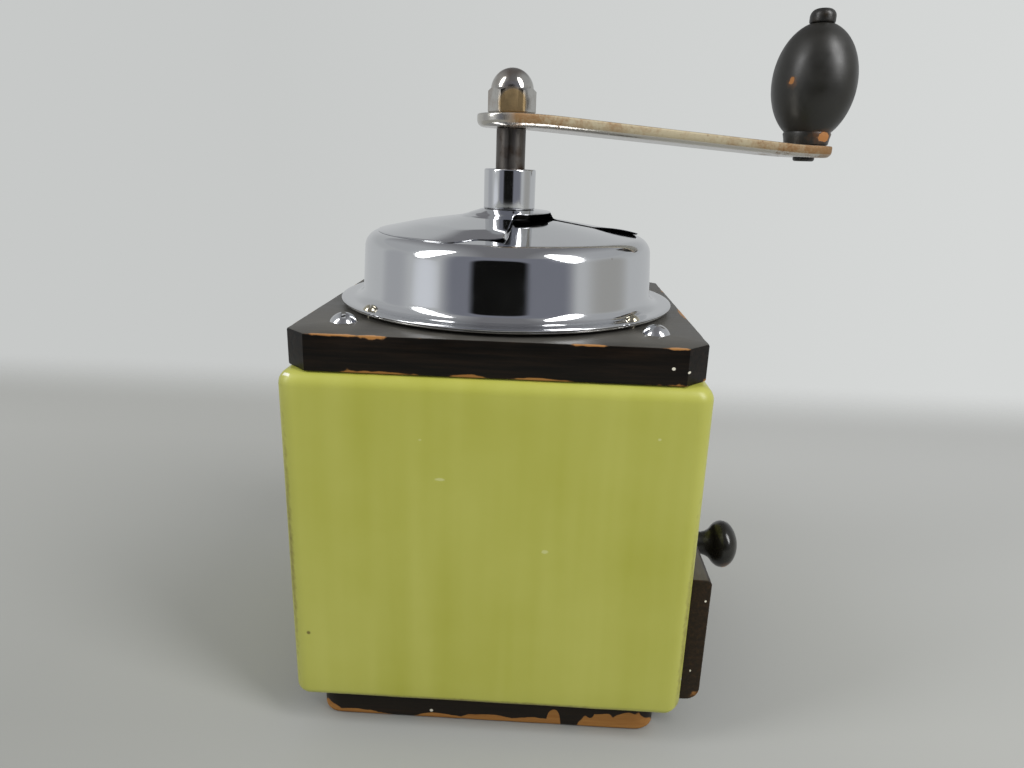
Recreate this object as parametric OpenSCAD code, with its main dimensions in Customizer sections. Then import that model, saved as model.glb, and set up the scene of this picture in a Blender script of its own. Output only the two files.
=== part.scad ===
// Box coffee mill with a side drawer, hand crank and conical burrs.
// Millimetres, +Z up, origin at the centre of the base board's underside,
// +X towards the drawer.

/* [Base board] */
// Width of the square base board
base_w = 102.8; // [98:0.2:106]
// Thickness of the base board
base_t = 11.9; // [9:0.1:16]
// Corner radius of the base board in plan
base_corner_r = 6; // [5:0.5:12]
// Round on the lower edge of the base board
base_edge_r = 1.5; // [1:0.5:5]

/* [Body shell] */
// Width of the square sheet-metal body
body_w = 115; // [110:0.5:125]
// Height of the sheet-metal body
body_h = 100.2; // [94:0.2:120]
// Thickness of the body's sheet
sheet_t = 0.8; // [0.5:0.1:1.2]
// Radius of the body's upright corners
body_corner_r = 5; // [4.5:0.5:10]
// Radius of the rolled upper and lower edges
body_edge_r = 4; // [2:0.5:4.5]
// Width of the turned-in lips, from the outer face
lip_w = 15; // [13:0.5:18]
// Length of the cut across each lower corner on the drawer side
relief_w = 5; // [2:0.5:8]
// Height of that cut
relief_h = 3; // [1:0.5:5]
// Wood left between a top screw's axis and the inner side of its corner block
block_wall = 4; // [3:0.5:6]
// Height of the corner blocks
block_h = 38; // [25:1:45]

/* [Top board] */
// Width of the square top board
top_w = 111.3; // [108:0.1:116]
// Thickness of the top board
top_t = 10.1; // [8:0.1:14]
// Corner radius of the top board in plan
top_corner_r = 5; // [2:0.5:10]
// Chamfer along the top board's edges
top_chamfer = 0.4; // [0.3:0.1:1.5]
// Distance of each top screw from the board's middle, along X
top_screw_x = 43.2; // [41:0.1:45]
// Distance of each top screw from the board's middle, along Y
top_screw_y = 39; // [38:0.1:45]

/* [Hopper] */
// Radius of the dome's flange
flange_r = 52.5; // [52:0.5:54]
// Thickness of the hopper's sheet
hopper_t = 0.8; // [0.5:0.1:1.2]
// Outer radius of the dome's wall at its foot
dome_foot_r = 45.8; // [45:0.1:46.5]
// Radius where the wall's line meets the cone's line
dome_shoulder_r = 44.6; // [43:0.1:46]
// Height of that meeting point above the flange's underside
dome_shoulder_h = 20; // [16:0.1:24]
// Height of the flat boss on top of the dome
dome_h = 25.9; // [24:0.1:32]
// Radius of the flat boss
boss_r = 13; // [10:0.5:15]
// Round between flange and wall
dome_foot_round = 3; // [1:0.1:3]
// Round at the shoulder
dome_shoulder_round = 4.5; // [2:0.5:6]
// Angle of each flange screw from the X axis
flange_screw_angle = 41; // [35:1:55]
// Middle of the fill opening, as an angle from +X
fill_angle = 137; // [120:1:150]
// Angle that the fill opening spans
fill_span = 84; // [60:1:88]
// Inner radius of the fill opening
fill_r0 = 17; // [15:0.5:20]
// Outer radius of the fill opening
fill_r1 = 38; // [30:0.5:39]
// Outer radius of the bowl's upright wall
bowl_r = 43.5; // [40:0.5:44.5]
// How far the bowl's flange stays inside the dome's flange
bowl_flange_inset = 0.7; // [0:0.1:1.5]
// Depth of the bowl's floor below its flange
bowl_depth = 33; // [28:0.5:36]
// Height of the bowl's upright wall
bowl_wall_h = 9; // [5:0.5:12]
// Radius of the bowl's flat floor
bowl_floor_r = 24.5; // [23.5:0.5:27]

/* [Hopper cover] */
// Radius of the rotating cover
cover_r = 40.8; // [39:0.2:41]
// Thickness of the cover's sheet
cover_t = 0.6; // [0.4:0.1:0.8]
// Angle of the notch's first edge, from +X
notch_from = -92; // [-100:1:-80]
// Angle that the notch spans
notch_span = 97; // [88:1:100]
// Radius of the hub ring that closes the notch
hub_ring_r = 13; // [12:0.5:15]
// Radius where the cover turns up to its hub
hub_foot_r = 15; // [14:0.5:18]
// Height of the finger lips at their outer end
finger_lip_h = 2.6; // [1.5:0.1:4]

/* [Collar] */
// Outer radius of the collar
collar_r = 8; // [7.6:0.1:9]
// Height of the collar above the cover's hub
collar_h = 11.9; // [8:0.1:16]
// Height of the cover's bearing between dome and collar
hub_h = 2.9; // [2.5:0.1:4]
// Radius of the cover's bearing on the collar
spigot_r = 6.9; // [6.6:0.1:7.2]
// Outer radius of the bearing bush
bush_r = 5.6; // [5.2:0.1:5.8]

/* [Burrs] */
// Radius of the ring burr's flange
burr_flange_r = 29; // [28:0.5:31]
// Thickness of the ring burr's flange
burr_flange_t = 3.8; // [3:0.1:5]
// Outer radius of the ring burr
ring_r = 19.5; // [18.5:0.1:20]
// Height of the ring burr
ring_h = 22; // [20:0.5:25]
// Radius at the mouth, between the ring burr's teeth
mouth_r = 15.5; // [15:0.1:16.5]
// Radius at the throat
throat_r = 13.4; // [13:0.1:14]
// Depth of the throat below the mouth
throat_depth = 13.5; // [12:0.5:15]
// Radius at the lower rim
rim_r = 15.6; // [15.2:0.1:16.2]
// Radius at the top of the cone burr
cone_top_r = 6.6; // [6.4:0.1:7.5]
// Gap between the burrs at the throat
throat_gap = 1.9; // [1.2:0.1:2.4]
// Gap between the burrs at the rim
grind_gap = 0.6; // [0.5:0.05:1]
// Coarse flutes on the cone burr
cone_flutes = 5; // [4:1:7]
// Fine teeth on the cone burr
cone_teeth = 26; // [18:1:32]
// Coarse flutes in the ring burr
ring_flutes = 9; // [7:1:12]
// Fine teeth in the ring burr
ring_teeth = 28; // [20:1:34]
// Depth of the fine teeth
tooth_d = 0.9; // [0.5:0.1:1.2]
// Depth of the coarse flutes in the ring burr
flute_d = 1.6; // [0.8:0.1:2]
// Depth of the coarse flutes on the cone burr
cone_flute_d = 2.3; // [1.5:0.1:2.4]
// Length of the posts below the ring burr
post_len = 5; // [4.6:0.1:7]
// Radius of the posts
post_r = 4.5; // [4:0.1:5]
// Circle of the burr screws
burr_screw_r = 20.5; // [19.5:0.1:21]

/* [Adjuster] */
// Width of the lower bridge
bridge_w = 14; // [13:0.5:18]
// Thickness of the lower bridge
bridge_t = 3.5; // [3:0.1:5]
// Radius of the adjusting screw's thread
adjuster_r = 5; // [4.8:0.1:5.6]
// Depth of the cup in the adjusting screw
cup_d = 3; // [2.5:0.1:4]
// Radius of the thrust pad and of the shaft's tip
tip_r = 3.5; // [3:0.1:3.7]
// Thickness of the thrust pad
pad_t = 1.5; // [1:0.1:2]
// Radius of the notched wheel
wheel_r = 9; // [8:0.1:11]
// Thickness of the notched wheel
wheel_t = 3.5; // [2.5:0.1:5]
// Notches round the wheel
wheel_notches = 16; // [8:1:20]
// Room above the wheel for the adjustment
wheel_gap = 1.6; // [1.4:0.1:2.5]
// Thickness of the detent spring
spring_t = 0.4; // [0.3:0.1:0.6]
// Width of the detent spring
spring_w = 6; // [4:0.5:8]

/* [Crank] */
// Radius of the drive shaft
shaft_r = 4.5; // [4.3:0.1:4.8]
// Radius of the shaft's threaded and flatted ends
thread_r = 4; // [3.7:0.1:4.1]
// Distance across the flats that carry the arm and the burr
flats_w = 6.5; // [5.5:0.1:7]
// Length of shaft that shows between collar and arm
shaft_show = 12; // [8:0.5:20]
// Distance between the arm's two axes
arm_len = 109; // [95:1:125]
// Radius of the arm's end at the shaft
arm_r1 = 10.5; // [9:0.1:12]
// Radius of the arm's end at the knob
arm_r2 = 9; // [7:0.1:10]
// Thickness of the arm
arm_t = 3.9; // [3:0.1:5]
// How far the arm drops towards the knob
arm_drop = 5.4; // [0:0.1:10]
// Angle of the arm from +X at rest
crank_angle = 21; // [0:1:360]
// Distance across the flats of the cap nut
nut_af = 13; // [11:0.1:14]
// Height of the cap nut's hexagon
nut_hex_h = 6.6; // [5:0.1:8]
// Radius of the cap nut's dome
nut_dome_r = 6.5; // [5.4:0.1:6.5]

/* [Knob] */
// Greatest radius of the knob
knob_r = 13.9; // [12:0.1:18]
// Half height of the full ellipse behind the knob's outline
knob_half_h = 19.3; // [18.8:0.1:24]
// Length of the olive below its widest place
knob_below = 16; // [12:0.1:17]
// Length of the olive above its widest place
knob_above = 18.3; // [12:0.1:18.5]
// Height of the knob's neck
neck_h = 4.3; // [3:0.1:6]
// Radius at the foot of the neck
neck_r = 7.4; // [6.5:0.1:8]
// Radius of the pin that the knob turns on
pin_r = 3; // [2.5:0.1:3.4]
// Radius of the pin's head
pin_head_r = 4.2; // [4:0.1:4.8]
// Height of the pin's head
pin_head_h = 4.7; // [3:0.1:6]

/* [Drawer] */
// Width of the drawer's front board
front_w = 100; // [90:0.5:106]
// Height of the drawer's front board
front_h = 41.2; // [36:0.2:50]
// Thickness of the drawer's front board
front_t = 6.2; // [5:0.1:8]
// How far the front board hangs below the body
front_hang = 0.3; // [0:0.1:2]
// Round on the front board's lower outer edge
front_round = 4; // [1:0.5:4.5]
// Chamfer on the front board's upper outer edge
front_chamfer = 1.2; // [0.4:0.1:2]
// Length of the drawer's box
drawer_len = 96; // [80:1:98]
// Height of the drawer's sides
side_h = 27; // [20:0.5:30]
// Thickness of the drawer's sides and back
side_t = 6; // [4:0.5:8]
// Thickness of the drawer's bottom
floor_t = 3; // [2:0.1:4]
// Height of the runners under the drawer
runner_h = 2.1; // [1.6:0.1:4]
// Thickness of the runners' upright guides
guide_t = 3.8; // [3:0.1:5]
// Height of the upright guides
guide_h = 9; // [5:0.5:14]
// Width of the runners' foot
runner_w = 12; // [9:0.5:16]
// Height of the drawer knob above the front board's lower edge
pull_z = 26; // [22:0.5:30]
// Radius of the drawer knob's head
pull_r = 8.2; // [7:0.1:10]
// Thickness of the drawer knob's head
pull_head_t = 10.7; // [8:0.1:13]
// Distance of the head from the front board
pull_neck_l = 9.6; // [7:0.1:13]
// Radius of the drawer knob's neck
pull_neck_r = 4.4; // [3.6:0.1:5]

/* [Screws] */
// Head radius of the top screws
top_head_r = 3.9; // [3.5:0.1:4.8]
// Head radius of the flange screws
flange_head_r = 2.2; // [1.8:0.1:2.3]
// Head radius of the inner screws
inner_head_r = 2.8; // [2.4:0.1:3]
// Shank radius of the top screws
top_shank_r = 2; // [1.5:0.1:2.2]
// Shank radius of the flange screws
flange_shank_r = 1.1; // [0.8:0.1:1.2]
// Shank radius of the inner screws
inner_shank_r = 1.6; // [1.2:0.1:1.8]

/* [Clearances] */
// Radial clearance of shafts and pins in their bearings
run_c = 0.06; // [0.02:0.01:0.1]
// Gap between the cover and the dome
cover_c = 0.3; // [0.25:0.05:0.6]
// Gap between the drawer and what guides it
drawer_c = 0.3; // [0.2:0.05:0.6]
// Gap between pieces that only pass each other
pass_c = 0.5; // [0.3:0.05:0.6]
// Play of the knob along its pin
knob_c = 0.2; // [0.1:0.05:0.4]

/* [Hidden] */
$fn = 96;
arc_steps = 10;

// Colours as the photograph shows them
green_paint = [0.62, 0.63, 0.24];
black_wood = [0.11, 0.10, 0.09];
bare_wood = [0.72, 0.53, 0.34];
chrome = [0.82, 0.82, 0.84];
nickel = [0.72, 0.68, 0.60];
dark_steel = [0.26, 0.25, 0.25];
cast_iron = [0.30, 0.29, 0.28];
bronze = [0.68, 0.52, 0.30];

// Heights of the main faces
z_body_top = base_t + body_h;
z_top = z_body_top + top_t;
z_flange = z_top + hopper_t;
z_boss = z_flange + dome_h;
z_hub = z_boss + hub_h;
z_collar = z_hub + collar_h;
z_arm = z_collar + shaft_show;
z_nut = z_arm + arm_t;
z_bowl_floor = z_flange - bowl_depth;
z_burr = z_bowl_floor - hopper_t;
z_ring_end = z_burr - ring_h;
z_post_end = z_ring_end - post_len;

// Body
lip_in = body_w / 2 - lip_w;
top_hole_r = bowl_r + pass_c;
top_hole_chamfer = 1;
edge_r = min(body_edge_r, body_corner_r);
block_w = body_w / 2 - edge_r - min(top_screw_x, top_screw_y) + block_wall;
block_at = body_w / 2 - edge_r - block_w / 2;
block_cut = (2 - sqrt(2)) * (body_corner_r - edge_r) + pass_c;
base_screw_y = (base_w / 2 + lip_in) / 2;
base_screw_x = lip_in / 2;
wood_screw_l = 8;
side_c = 0.1;
block_bite = 14;

// Hopper
flange_seat = 0.5;
flange_screw_r = dome_foot_r + dome_foot_round + flange_seat;
cone_slope = (dome_h - dome_shoulder_h) / (dome_shoulder_r - boss_r);
cover_lift = (cover_c + cover_t) / cos(atan(cone_slope));
spigot_wall = 0.6;
dome_bore_r = bush_r + spigot_wall;
rivet_t = 0.7;
rivet_r = dome_bore_r + 1.8;
hub_top_c = 0.15;
hub_flat = 1.6;
hub_round = 1;
hub_foot_round = 6;
boss_round = 2;
bush_inset = 0.5;
bowl_rim_round = 2;
bowl_wall_round = 6;
bowl_floor_round = 2;
bowl_in_r = bowl_r - hopper_t;

// Burrs
cone_rim_slope = (rim_r - grind_gap - throat_r + throat_gap) / (ring_h - throat_depth);
groove_h = 1;
groove_d = 0.3;
cone_below = 0.5;
cone_mid_r = throat_r - throat_gap;
cone_base_r = rim_r - grind_gap + cone_rim_slope * cone_below;
cone_above = 1.2;
z_cone_end = z_ring_end - cone_below;
z_cone_mid = z_burr - throat_depth;
z_cone_top = z_burr - cone_above;
burr_nut_h = 4;
burr_nut_room = 0.8;
post_inset = 0.8;
post_y = burr_flange_r - post_r - post_inset;
burr_skin = 0.6;
burr_bite = burr_flange_t - burr_skin;
bridge_l = 2 * (post_y + post_r);

// Twist of the flutes and teeth in degrees, and the steps that it is cut in
ring_flute_twist = [-25, 6];
ring_tooth_twist = [12, 5];
cone_flute_twist = [150, 16];
cone_tooth_twist = [25, 6];

// Adjuster
cup_gap = 1.1;
z_cup_top = z_cone_end - cup_gap;
z_cup_floor = z_cup_top - cup_d;
z_pad_top = z_cup_floor + pad_t;
z_bridge = z_post_end - bridge_t;
z_wheel_top = z_bridge - wheel_gap;
spring_c = 0.4;

// Crank
thread_above_nut = 9;
nut_bore_d = thread_above_nut + pass_c;
arm_bend = 9;
z_arm_end = z_arm - arm_drop;
z_knob = z_arm_end + arm_t + knob_c;
knob_l = neck_h + knob_below + knob_above;
z_pin_head = z_knob + knob_l + knob_c;
pin_rivet_lip = 0.6;
pin_rivet_r = pin_r + pin_rivet_lip;
pin_rivet_h = 1.3;

// Drawer
x_front = body_w / 2 + drawer_c;
rail_out = lip_in - side_c;
drawer_w = 2 * (rail_out - guide_t - drawer_c);
z_runner = base_t + runner_h;
slide_c = 0.05;
z_drawer = z_runner + slide_c;
z_side = z_drawer + floor_t;
z_side_top = z_side + side_h;
x_back = x_front - drawer_len;
rail_l = 2 * (lip_in - body_corner_r);
z_front = base_t - front_hang;
z_pull = z_front + pull_z;
opening_c = 1.2;
sill_h = 0.2;
pull_bite = 12;

// Height of the dome's outer cone at radius r
function dome_z(r) = z_boss - (r - boss_r) * cone_slope;

// Points of an arc that rounds the corner b between a and c
function unit(v) = v / norm(v);
function corner_arc(a, b, c, r) =
    let (
        u = unit(a - b),
        v = unit(c - b),
        half = acos(u * v) / 2,
        middle = b + unit(u + v) * r / sin(half),
        from = b + u * r / tan(half) - middle,
        to = b + v * r / tan(half) - middle,
        start = atan2(from[1], from[0]),
        turn = atan2(from[0] * to[1] - from[1] * to[0], from * to)
    )
    [
        for (i = [0 : arc_steps])
            let (a = start + turn * i / arc_steps)
            middle + r * [cos(a), sin(a)]
    ];

// A path of [x, y, radius] points with its corners rounded
function rounded_path(p) = [
    for (i = [0 : len(p) - 1])
        let (here = [p[i][0], p[i][1]])
        each (i == 0 || i == len(p) - 1 || p[i][2] == 0)
            ? [here]
            : corner_arc([p[i - 1][0], p[i - 1][1]], here, [p[i + 1][0], p[i + 1][1]], p[i][2])
];

// A path thickened to its left by t, as a closed outline of sheet
function left_of(v) = [-v[1], v[0]];
function side_normal(p, i) =
    let (
        before = left_of(unit(p[i] - p[max(i - 1, 0)] + (i == 0 ? p[1] - p[0] : [0, 0]))),
        after = left_of(unit(i == len(p) - 1 ? p[i] - p[i - 1] : p[i + 1] - p[i]))
    )
    (before + after) / (1 + before * after);
function sheet(p, t) = concat(p, [for (i = [len(p) - 1 : -1 : 0]) p[i] + t * side_normal(p, i)]);

// Square with round corners
module rounded_square(w, r) {
    square([w, w - 2 * r], center = true);
    square([w - 2 * r, w], center = true);
    for (x = [-1, 1], y = [-1, 1]) translate([x, y] * (w / 2 - r)) circle(r);
}

// Square block whose upright corners are turned from an edge profile between x = 0 and corner_r
module profiled_block(w, h, corner_r) {
    inner = w / 2 - corner_r;
    for (x = [-1, 1], y = [-1, 1]) translate([x * inner, y * inner, 0]) rotate_extrude() children();
    for (a = [0, 90]) rotate([0, 0, a]) translate([0, inner, 0]) rotate([90, 0, 0])
        linear_extrude(2 * inner) {
            for (m = [0, 1]) mirror([m, 0]) translate([inner, 0]) children();
            translate([-inner, 0]) square([2 * inner, h]);
        }
}

// Edge profile with a round at the foot and, if asked, at the top
module round_edge(corner_r, r, h, top_too) {
    top_r = top_too ? r : 0;
    square([corner_r - r, h]);
    translate([0, r]) square([corner_r, h - r - top_r]);
    intersection() {
        union() {
            translate([corner_r - r, r]) circle(r);
            if (top_too) translate([corner_r - r, h - r]) circle(r);
        }
        square([corner_r, h]);
    }
}

// Part of a ring between two radii, from one angle over a span below 180 degrees
module ring_sector(r0, r1, from, span) {
    reach = 2 * r1;
    intersection() {
        difference() {
            circle(r1);
            circle(r0);
        }
        polygon(concat([[0, 0]], [for (a = [from, from + span / 2, from + span]) reach * [cos(a), sin(a)]]));
    }
}

// Round-head slotted screw: underside of its head at z = 0, shank below
module round_head_screw(head_r, shank_r, shank_l) {
    head_h = 0.62 * head_r;
    ball_r = (head_r * head_r + head_h * head_h) / (2 * head_h);
    slot_w = 0.3 * head_r;
    slot_d = 0.45 * head_h;
    difference() {
        rotate_extrude() intersection() {
            translate([0, head_h - ball_r]) circle(ball_r);
            square([head_r, head_h]);
        }
        translate([-head_r, -slot_w / 2, head_h - slot_d]) cube([2 * head_r, slot_w, head_h]);
    }
    translate([0, 0, -shank_l]) cylinder(r = shank_r, h = shank_l);
}

// Shaft end of radius r with two flats
module flatted(r, across) {
    intersection() {
        circle(r);
        square([across, 2.2 * r], center = true);
    }
}

// Outline of a burr: teeth that rise slowly and fall steeply, tips at tip_r
module tooth_ring(teeth, tip_r, root_r) {
    polygon([
        for (i = [0 : teeth - 1])
            each [
                for (p = [[0, root_r], [0.55, tip_r], [0.8, tip_r], [0.9, root_r]])
                    p[1] * [cos((i + p[0]) * 360 / teeth), sin((i + p[0]) * 360 / teeth)]
            ]
    ]);
}

// Tapered length of a burr, its outline twisted by [degrees, steps]
module burr_extrude(h, twist, taper) {
    linear_extrude(h, twist = twist[0], slices = twist[1], scale = taper) children();
}

module base_board() {
    round_r = min(base_edge_r, base_corner_r);
    color(black_wood) difference() {
        profiled_block(base_w, base_t, base_corner_r) round_edge(base_corner_r, round_r, base_t, false);
        at_base_screws() translate([0, 0, -wood_screw_l]) cylinder(r = inner_shank_r, h = 2 * wood_screw_l);
    }
}

// Places of the screws that hold the shell's lower lip, on the base board's face
module at_base_screws() {
    for (x = [-1, 1], y = [-1, 1]) translate([x * base_screw_x, y * base_screw_y, base_t]) children();
}

module body_shell() {
    color(green_paint) translate([0, 0, base_t]) difference() {
        profiled_block(body_w, body_h, body_corner_r)
            round_edge(body_corner_r, edge_r, body_h, true);
        translate([0, 0, sheet_t])
            profiled_block(body_w - 2 * sheet_t, body_h - 2 * sheet_t, body_corner_r - sheet_t)
                round_edge(body_corner_r - sheet_t, edge_r - sheet_t, body_h - 2 * sheet_t, true);
        translate([0, 0, -1]) linear_extrude(body_h + 2) rounded_square(2 * lip_in, body_corner_r);
        drawer_opening();
        corner_reliefs();
        translate([0, 0, -base_t]) at_base_screws()
            cylinder(r = inner_shank_r, h = 4 * sheet_t, center = true);
        at_top_screws(body_h) cylinder(r = top_shank_r, h = 4 * sheet_t, center = true);
    }
}

// Opening in the drawer side, measured from the shell's lower edge
module drawer_opening() {
    wide = drawer_w + 2 * opening_c;
    low = sheet_t + sill_h;
    high = z_side_top + opening_c - base_t;
    translate([lip_in, -wide / 2, low]) cube([lip_w + 1, wide, high - low]);
}

// Slanted cuts across the lower corners beside the drawer
module corner_reliefs() {
    slant = atan(relief_h / relief_w);
    for (y = [-1, 1]) translate([body_w / 2 - relief_w, y * body_w / 2, 0]) rotate([0, -slant, 0])
        translate([0, -body_corner_r, -2 * relief_w]) cube([3 * relief_w, 2 * body_corner_r, 2 * relief_w]);
}

module corner_blocks() {
    color(bare_wood) at_top_blocks() difference() {
        translate([0, 0, -block_h]) linear_extrude(block_h) block_outline();
        translate([top_screw_x - block_at, top_screw_y - block_at, -block_bite])
            cylinder(r = top_shank_r, h = 2 * block_bite);
    }
}

// Corner block in plan, with the corner under the shell's bend cut off
module block_outline() {
    half = block_w / 2;
    inset = half - block_cut;
    polygon([[-half, -half], [half, -half], [half, inset], [inset, half], [-half, half]]);
}

// Places of the corner blocks, turned so that local +X +Y points into the corner
module at_top_blocks() {
    for (mx = [0, 1], my = [0, 1]) mirror([mx, 0, 0]) mirror([0, my, 0])
        translate([block_at, block_at, z_body_top - sheet_t]) children();
}

module top_board() {
    color(black_wood) translate([0, 0, z_body_top]) difference() {
        profiled_block(top_w, top_t, top_corner_r) polygon([
            [0, 0], [top_corner_r - top_chamfer, 0], [top_corner_r, top_chamfer],
            [top_corner_r, top_t - top_chamfer], [top_corner_r - top_chamfer, top_t], [0, top_t]
        ]);
        translate([0, 0, -1]) cylinder(r = top_hole_r, h = top_t + 2);
        translate([0, 0, top_t - top_hole_chamfer])
            cylinder(r1 = top_hole_r, r2 = top_hole_r + 2 * top_hole_chamfer, h = 2 * top_hole_chamfer);
        at_top_screws(-1) cylinder(r = top_shank_r, h = top_t + 2);
        at_flange_screws(top_t - wood_screw_l) cylinder(r = flange_shank_r, h = 2 * wood_screw_l);
    }
}

module at_top_screws(z) {
    for (x = [-1, 1], y = [-1, 1]) translate([x * top_screw_x, y * top_screw_y, z]) children();
}

module at_flange_screws(z) {
    for (half = [0, 180], a = [-1, 1] * flange_screw_angle)
        rotate([0, 0, half + a]) translate([flange_screw_r, 0, z]) children();
}

module base_screws() {
    color(dark_steel) at_base_screws() translate([0, 0, sheet_t])
        round_head_screw(inner_head_r, inner_shank_r, wood_screw_l + sheet_t);
}

module top_screws() {
    color(chrome) at_top_screws(z_top)
        round_head_screw(top_head_r, top_shank_r, top_t + sheet_t + block_bite);
}

module hopper_bowl() {
    path = rounded_path([
        [flange_r - bowl_flange_inset, z_flange, 0],
        [bowl_in_r, z_flange, bowl_rim_round],
        [bowl_in_r, z_flange - bowl_wall_h, bowl_wall_round],
        [bowl_floor_r, z_bowl_floor, bowl_floor_round],
        [mouth_r, z_bowl_floor, 0]
    ]);
    color(chrome) difference() {
        rotate_extrude() polygon(sheet(path, hopper_t));
        at_flange_screws(z_top - 1) cylinder(r = flange_shank_r, h = 3);
        at_burr_screws(z_burr - 1) cylinder(r = inner_shank_r, h = 3);
    }
}

module hopper_dome() {
    path = rounded_path([
        [flange_r, z_flange + hopper_t, 0],
        [dome_foot_r, z_flange + hopper_t, dome_foot_round],
        [dome_shoulder_r, z_flange + dome_shoulder_h, dome_shoulder_round],
        [boss_r, z_boss, boss_round],
        [dome_bore_r, z_boss, 0]
    ]);
    color(chrome) difference() {
        rotate_extrude() polygon(sheet(path, hopper_t));
        translate([0, 0, z_flange + dome_shoulder_h - 2]) linear_extrude(dome_h)
            ring_sector(fill_r0, fill_r1, fill_angle - fill_span / 2, fill_span);
        at_flange_screws(z_flange - 1) cylinder(r = flange_shank_r, h = 3);
        at_flange_screws(z_flange + hopper_t)
            cylinder(r = flange_head_r + side_c, h = dome_foot_round);
    }
}

module flange_screws() {
    color(nickel) at_flange_screws(z_flange + hopper_t)
        round_head_screw(flange_head_r, flange_shank_r, 2 * hopper_t + wood_screw_l);
}

module dome_collar() {
    rim = 0.4;
    z_rivet = z_boss - hopper_t;
    color(chrome) rotate_extrude() polygon([
        [bush_r, z_rivet - rivet_t], [rivet_r, z_rivet - rivet_t], [rivet_r, z_rivet], [dome_bore_r, z_rivet],
        [dome_bore_r, z_boss], [spigot_r, z_boss], [spigot_r, z_hub], [collar_r, z_hub],
        [collar_r, z_collar - rim], [collar_r - rim, z_collar], [bush_r, z_collar]
    ]);
}

module collar_bush() {
    z_low = z_boss - hopper_t - rivet_t;
    color(bronze) translate([0, 0, z_low]) difference() {
        cylinder(r = bush_r, h = z_collar - bush_inset - z_low);
        translate([0, 0, -1]) cylinder(r = shaft_r + run_c, h = z_collar);
    }
}

module hopper_cover() {
    path = rounded_path([
        [cover_r, dome_z(cover_r) + cover_lift, 0],
        [hub_foot_r, dome_z(hub_foot_r) + cover_lift, hub_foot_round],
        [spigot_r + hub_flat, z_hub - hub_top_c, hub_round],
        [spigot_r + run_c, z_hub - hub_top_c, 0]
    ]);
    color(chrome) {
        difference() {
            rotate_extrude() polygon(sheet(path, cover_t));
            translate([0, 0, z_boss - dome_h]) linear_extrude(2 * dome_h)
                ring_sector(hub_ring_r, cover_r + 1, notch_from, notch_span);
        }
        for (a = [notch_from, notch_from + notch_span]) rotate([0, 0, a]) finger_lip();
    }
}

// Turned-up edge of the notch, rising outwards along +X out of the middle of the cover's sheet
module finger_lip() {
    r0 = hub_foot_r + 2;
    r1 = cover_r - 2;
    foot = cover_lift - cover_t / 2;
    corner_round = 1.5;
    translate([0, cover_t / 2, 0]) rotate([90, 0, 0]) linear_extrude(cover_t) polygon(rounded_path([
        [r0, dome_z(r0) + foot, 0],
        [r1, dome_z(r1) + foot, 0],
        [r1, dome_z(r1) + cover_lift + finger_lip_h, corner_round],
        [r0, dome_z(r0) + foot, 0]
    ]));
}

// Fixed burr: coarse flutes above, a relief groove at the throat and fine teeth below
module ring_burr() {
    upper = throat_depth;
    lower = ring_h - throat_depth;
    z_throat = z_burr - throat_depth;
    color(cast_iron) difference() {
        union() {
            translate([0, 0, z_burr - burr_flange_t]) cylinder(r = burr_flange_r, h = burr_flange_t);
            translate([0, 0, z_ring_end]) cylinder(r = ring_r, h = ring_h);
            for (y = [-1, 1]) translate([0, y * post_y, z_post_end])
                cylinder(r = post_r, h = z_burr - z_post_end);
        }
        translate([0, 0, z_throat - groove_h / 2]) cylinder(r = throat_r + flute_d + groove_d, h = groove_h);
        translate([0, 0, z_throat + groove_h / 4])
            burr_extrude(upper, ring_flute_twist, mouth_r / throat_r)
                tooth_ring(ring_flutes, throat_r + flute_d, throat_r);
        translate([0, 0, z_throat - groove_h / 4 - lower])
            burr_extrude(lower, ring_tooth_twist, throat_r / rim_r)
                tooth_ring(ring_teeth, rim_r + tooth_d, rim_r);
        at_burr_screws(z_burr - burr_bite) cylinder(r = inner_shank_r, h = 2 * burr_bite);
        at_bridge_screws(z_post_end - 1) cylinder(r = inner_shank_r, h = wood_screw_l + 1);
    }
}

module at_burr_screws(z) {
    for (a = [30 : 120 : 270]) rotate([0, 0, a]) translate([burr_screw_r, 0, z]) children();
}

module at_bridge_screws(z) {
    for (y = [-1, 1]) translate([0, y * post_y, z]) children();
}

module burr_screws() {
    color(dark_steel) at_burr_screws(z_bowl_floor)
        round_head_screw(inner_head_r, inner_shank_r, hopper_t + burr_bite);
}

module lower_bridge() {
    color(dark_steel) translate([0, 0, z_bridge]) difference() {
        linear_extrude(bridge_t) {
            square([bridge_w, bridge_l - bridge_w], center = true);
            for (y = [-1, 1]) translate([0, y * (bridge_l - bridge_w) / 2]) circle(bridge_w / 2);
        }
        translate([0, 0, -1]) cylinder(r = adjuster_r + run_c, h = bridge_t + 2);
        at_bridge_screws(-1) cylinder(r = inner_shank_r, h = bridge_t + 2);
    }
}

module bridge_screws() {
    color(dark_steel) for (y = [-1, 1]) {
        washer = y > 0 ? spring_t : 0;
        translate([0, y * post_y, z_bridge - washer]) mirror([0, 0, 1])
            round_head_screw(inner_head_r, inner_shank_r, washer + bridge_t + wood_screw_l);
    }
}

// Leaf under the bridge, held by the bridge's screw, with its end turned down beside the wheel
module detent_spring() {
    tab_y = wheel_r + spring_c;
    tab_h = wheel_gap + wheel_t;
    color(dark_steel) translate([0, 0, z_bridge]) difference() {
        translate([spring_w / 2, 0, 0]) rotate([90, 0, -90]) linear_extrude(spring_w) polygon(sheet([
            [-tab_y, -tab_h], [-tab_y, 0], [-post_y - post_r, 0]
        ], spring_t));
        translate([0, post_y, -1]) cylinder(r = inner_shank_r, h = 2);
    }
}

module thrust_pad() {
    color(dark_steel) translate([0, 0, z_cup_floor]) cylinder(r = tip_r, h = pad_t);
}

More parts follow.
